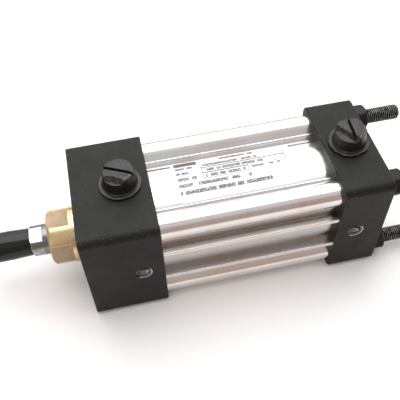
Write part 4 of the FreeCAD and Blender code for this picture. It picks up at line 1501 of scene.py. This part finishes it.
@dataclass
class EndBlocks:
    """Head and cap, their needles and their plugs."""

    dresser: Dresser
    looks: tuple[EndLook, ...] = (
        EndLook("head", 1, -27.0, 4, 0.5 * MM, 0.1 * MM, -117.0, 4.6 * MM),
        EndLook("cap", -1, 86.0, 11, 0.95 * MM, 0.4 * MM, -140.0, 2.6 * MM),
    )
    spigot: float = 5 * MM
    needle_hole: float = 3.96 * MM
    port_radius: float = 8.55 * MM
    plug_stub: float = 7.2 * MM
    plug_flange: float = 10.58 * MM
    anodised: Colour = (0.0105, 0.0110, 0.0096)
    needle_steel: Colour = (0.50, 0.49, 0.46)
    plug_black: Colour = (0.010, 0.010, 0.0105)

    def build(self) -> None:
        """Dress both blocks and build what stands in them."""
        for look in self.looks:
            self.dress_block(look)
            self.build_plug(look)
        ring = PlainStock("retainer_spring_steel", (0.16, 0.155, 0.15), gloss=0.32, metal=1.0)
        self.dresser.dress(ring, "head_needle_retainer", "cap_needle_retainer")

    def dress_block(self, look: EndLook) -> None:
        """Dress a block and its needle."""
        low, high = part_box(look.name)
        plug = span(look.name + "_port_plug")[0]
        needle = span(look.name + "_cushion_needle")[0]
        ends = (low.x, high.x - self.spigot) if look.inner > 0 else (low.x + self.spigot, high.x)
        block = AnodisedBlock("black_anodised_" + look.name, self.anodised, gloss=0.46, shine=0.17,
                              half=high.z, ends=ends, needle_x=needle.x, needle_hole=self.needle_hole,
                              port_x=plug.x, port_radius=self.port_radius)
        self.dresser.dress(block, look.name)
        steel = FaceTurned("needle_steel_" + look.name, self.needle_steel, gloss=0.24, metal=1.0,
                           centre=tuple(needle))
        self.dresser.dress(steel, look.name + "_cushion_needle")

    def build_plug(self, look: EndLook) -> None:
        """Build the plug in a block's port."""
        node = look.name + "_port_plug"
        low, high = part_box(node)
        plastic = ChippedHighlitPlastic("moulded_black_" + look.name, self.plug_black, gloss=0.34, shine=0.4,
                                 axis_x=span(node)[0].x, top=high.z, stub=self.plug_stub,
                                 flange=high.y, flange_top=low.z + self.plug_flange)
        PortPlug(node, look.name + "_plug", "plug_plastic", plastic,
                 slot_turn=math.radians(look.slot_turn), seed=look.seed, ragged=look.ragged,
                 flash=look.flash, break_turn=math.radians(look.break_turn),
                 break_from=look.break_from).build()


@dataclass
class Barrel:
    """Extruded barrel and the label on it."""

    dresser: Dresser

    def build(self) -> None:
        """Dress the extrusion and wrap the label."""
        metal = DrawnBarrel("drawn_aluminium", (0.72, 0.70, 0.69), gloss=0.20, metal=1.0)
        self.dresser.dress(metal, "barrel_tube")
        low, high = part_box("rating_label")
        film = PrintedLabel("printed_film", (0.86, 0.86, 0.88), gloss=0.32, x0=low.x, radius=high.z)
        WrappedLabel("rating_label", "barrel", "label_film", film).build()


@dataclass
class TieRods:
    """Four tie rods with rolled threads, and their nuts."""

    pitch: float = 1.058 * MM
    behind_face: float = 3.0 * MM

    def build(self) -> None:
        """Build every rod and nut."""
        middle, half = span("tie_rod_2")
        steel = OxideSteel("oxide_thread", (0.016, 0.0165, 0.013), gloss=0.34, metal=0.8,
                           spacing=middle.y, crest=half.z, rubbed=(0.52, 0.53, 0.48))
        black = OxideSteel("oxide_nut", (0.007, 0.007, 0.006), gloss=0.42, metal=0.2, shine=0.3)
        thread_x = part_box("cap")[1].x - self.behind_face
        for number in range(1, 5):
            ThreadedBar(f"tie_rod_{number}", "barrel", "tie_rod_steel", steel,
                        pitch=self.pitch, thread_x=thread_x).build()
            HexNut(f"tie_rod_nut_{number}", "barrel", "nut_steel", black).build()


@dataclass
class RodEnd:
    """Gland, rod, threaded stud and its sleeve."""

    dresser: Dresser
    stud_pitch: float = 1.27 * MM
    stud_inside: float = 3 * MM
    stud_columns: int = 40
    gland_step: float = 0.25 * MM
    rod_radius: float = 7.9375 * MM
    clean_behind: float = 2 * MM

    def build(self) -> None:
        """Build the gland, stud and sleeve, and dress the rod and wiper."""
        low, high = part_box("rod_gland")
        bronze = WrenchedMetal("bearing_bronze", (0.60, 0.46, 0.25), gloss=0.24, metal=1.0,
                               tarnish=(0.46, 0.35, 0.22), band=high.z - self.gland_step,
                               flat_tone=(0.54, 0.445, 0.315), matt=0.8)
        RodGland("rod_gland", "barrel", "gland_bronze", bronze).build()
        chrome = WrenchedMetal("hard_chrome", (0.17, 0.175, 0.165), gloss=0.26, metal=1.0,
                               tarnish=(0.09, 0.10, 0.085), ring_depth=0.0015 * MM,
                               band=self.rod_radius, flat_tone=(0.46, 0.46, 0.46), matt=0.28,
                               clean_from=low.x + self.clean_behind)
        self.dresser.dress(chrome, "piston_rod")
        steel = OxideSteel("oiled_stud_steel", (0.22, 0.22, 0.22), gloss=0.3, metal=1.0,
                           rubbed=(0.6, 0.6, 0.6), crest=span("rod_end_stud")[1].z)
        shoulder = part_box("piston_rod")[0].x
        ThreadedBar("rod_end_stud", "rod", "stud_steel", steel, pitch=self.stud_pitch,
                    thread_x=shoulder + self.stud_inside, free_end=-1, columns=self.stud_columns).build()
        vinyl = MouldedPlastic("gloss_vinyl", (0.006, 0.007, 0.007), gloss=0.14, shine=0.3,
                               grain_depth=0.004 * MM, scuff_share=0.10)
        ThreadSleeve("thread_protector", "protector", "protector_plastic", vinyl).build()
        urethane = PlainStock("urethane_seal", (0.09, 0.065, 0.045), gloss=0.45)
        self.dresser.dress(urethane, "rod_wiper", "rod_seal", "head_cushion_seal", "cap_cushion_seal")


@dataclass
class InnerParts:
    """Piston, cushions, rings and seals inside the bore."""

    dresser: Dresser

    def build(self) -> None:
        """Dress every inner node."""
        dress = self.dresser.dress
        dress(PlainStock("nitrile_rubber", (0.018, 0.018, 0.018), gloss=0.5),
              "gland_o_ring", "head_tube_seal", "cap_tube_seal", "head_needle_seal",
              "cap_needle_seal", "piston_seal_front", "piston_seal_rear", "piston_o_ring")
        dress(TurnedMetal("turned_piston", (0.82, 0.82, 0.83), gloss=0.3, metal=1.0,
                          tarnish=(0.6, 0.6, 0.6)), "piston")
        dress(TurnedMetal("ground_cushion", (0.62, 0.62, 0.62), gloss=0.22, metal=1.0,
                          tarnish=(0.45, 0.45, 0.44)),
              "front_cushion_sleeve", "rear_cushion_spear", "head_cushion_retainer",
              "cap_cushion_retainer")
        dress(PlainStock("filled_nylon", (0.36, 0.24, 0.11), gloss=0.5), "piston_wear_ring")
        dress(PlainStock("bonded_ferrite", (0.05, 0.05, 0.052), gloss=0.6), "piston_magnet")


# ---- studio -------------------------------------------------------------------------
@dataclass(frozen=True)
class Softbox:
    """Rectangular area light.

    Attributes:
        name: Its name.
        at: Where it stands.
        target: Where it points.
        size: Its width and height.
        power: Its watts.
        tint: Its colour.
    """

    name: str
    at: Place
    target: Place
    size: tuple[float, float]
    power: float
    tint: Colour

    def build(self) -> None:
        """Put the light in the scene."""
        data = bpy.data.lights.new(self.name, "AREA")
        data.shape = "RECTANGLE"
        data.size, data.size_y = self.size
        data.energy = self.power
        data.color = self.tint
        light = bpy.data.objects.new(self.name, data)
        aim = (Vector(self.target) - Vector(self.at)).to_track_quat("-Z", "Y")
        light.matrix_world = Matrix.Translation(self.at) @ aim.to_matrix().to_4x4()
        bpy.context.scene.collection.objects.link(light)


@dataclass
class Studio:
    """Floor, soft lights and camera.

    Attributes:
        floor_half: Half of the floor's side.
        floor_x: Place of its middle along X.
        camera_at: Where the camera stands.
        camera_right: Direction of the picture's right.
        camera_up: Direction of the picture's top.
        lens: Focal length in millimetres.
        sensor: Sensor width in millimetres.
        near: Distance from which the camera sees.
        sky: Stops of the surroundings' colour, from below to above.
        sky_strength: Their strength.
        backdrop: What the camera sees of them.
        lights: The lights.
    """

    floor_half: float = 0.30
    floor_x: float = 0.08
    camera_at: Place = (0.02587, -0.18935, 0.25216)
    camera_right: Place = (0.97583, -0.21755, -0.02108)
    camera_up: Place = (0.18349, 0.76306, 0.61973)
    lens: float = 54.0
    sensor: float = 36.0
    near: float = 0.01
    sky: tuple[tuple[float, Colour], ...] = (
        (0.0, (0.66, 0.52, 0.45)), (0.30, (0.78, 0.58, 0.47)), (0.48, (0.66, 0.57, 0.53)),
        (0.70, (1.0, 1.0, 1.02)),
    )
    sky_strength: float = 0.75
    backdrop: Colour = (1.3, 1.3, 1.3)
    lights: tuple[Softbox, ...] = (
        Softbox("overhead", (0.08, 0.30, 0.93), (0.07, 0, 0), (1.1, 1.1), 11.5, (1.0, 1.0, 1.0)),
        Softbox("back_fill", (0.08, 0.85, 0.40), (0.07, 0, 0), (1.2, 0.55), 3.0, (0.98, 0.98, 1.0)),
        Softbox("front_fill", (-0.55, -0.75, 0.45), (0.05, 0, 0), (0.5, 0.35), 1.2, (1.0, 0.93, 0.84)),
        Softbox("rear_fill", (0.9, 0.6, 0.45), (0.1, 0, 0), (0.5, 0.4), 1.5, (0.95, 0.97, 1.0)),
    )

    def build(self) -> None:
        """Set up the whole studio."""
        self.floor()
        self.world()
        self.camera()
        for light in self.lights:
            light.build()

    def floor(self) -> None:
        """Pale matt floor under the blocks."""
        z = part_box("head")[0].z
        edge = np.linspace(-self.floor_half, self.floor_half, 3)
        x, y = np.meshgrid(edge, edge, indexing="ij")
        points = np.stack([x + self.floor_x, y, np.full_like(x, z)], axis=-1)
        floor = solid_object("studio_floor", [Patch(points, closed=False)])
        paper = PaleFloor("pale_floor", (0.86, 0.85, 0.84), gloss=0.85, shine=0.1)
        floor.data.materials.append(shared(paper))

    def world(self) -> None:
        """Even pale surroundings, warmer and darker near the horizon."""
        world = bpy.data.worlds.new("studio_world")
        world.use_nodes = True
        bpy.context.scene.world = world
        bench = Bench(world.node_tree, "Background")
        height = bench.split(bench.node("ShaderNodeTexCoord", {}, {}, "Generated"))[2]
        sky = bench.node("ShaderNodeValToRGB", {"stops": self.sky}, {0: height})
        seen = bench.node("ShaderNodeLightPath", {}, {}, "Is Camera Ray")
        bench.set(Color=bench.blend(seen, sky, self.backdrop), Strength=self.sky_strength)

    def camera(self) -> None:
        """Camera from above the needle side, towards the rod end."""
        data = bpy.data.cameras.new("camera")
        data.lens = self.lens
        data.sensor_width = self.sensor
        data.clip_start = self.near
        camera = bpy.data.objects.new("camera", data)
        right, up = Vector(self.camera_right), Vector(self.camera_up)
        back = right.cross(up)
        turn = Matrix((right, up, back)).transposed().to_4x4()
        camera.matrix_world = Matrix.Translation(self.camera_at) @ turn
        bpy.context.scene.collection.objects.link(camera)
        bpy.context.scene.camera = camera


def main() -> None:
    """Build the cylinder's looks in order."""
    logging.basicConfig(level=logging.INFO, format="%(name)s %(message)s")
    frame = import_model()
    bpy.context.scene.view_settings.view_transform = "Standard"
    Studio().build()
    dresser = Dresser(frame)
    for assembly in (EndBlocks(dresser), Barrel(dresser), TieRods(), RodEnd(dresser), InnerParts(dresser)):
        assembly.build()


if __name__ == "__main__":
    main()
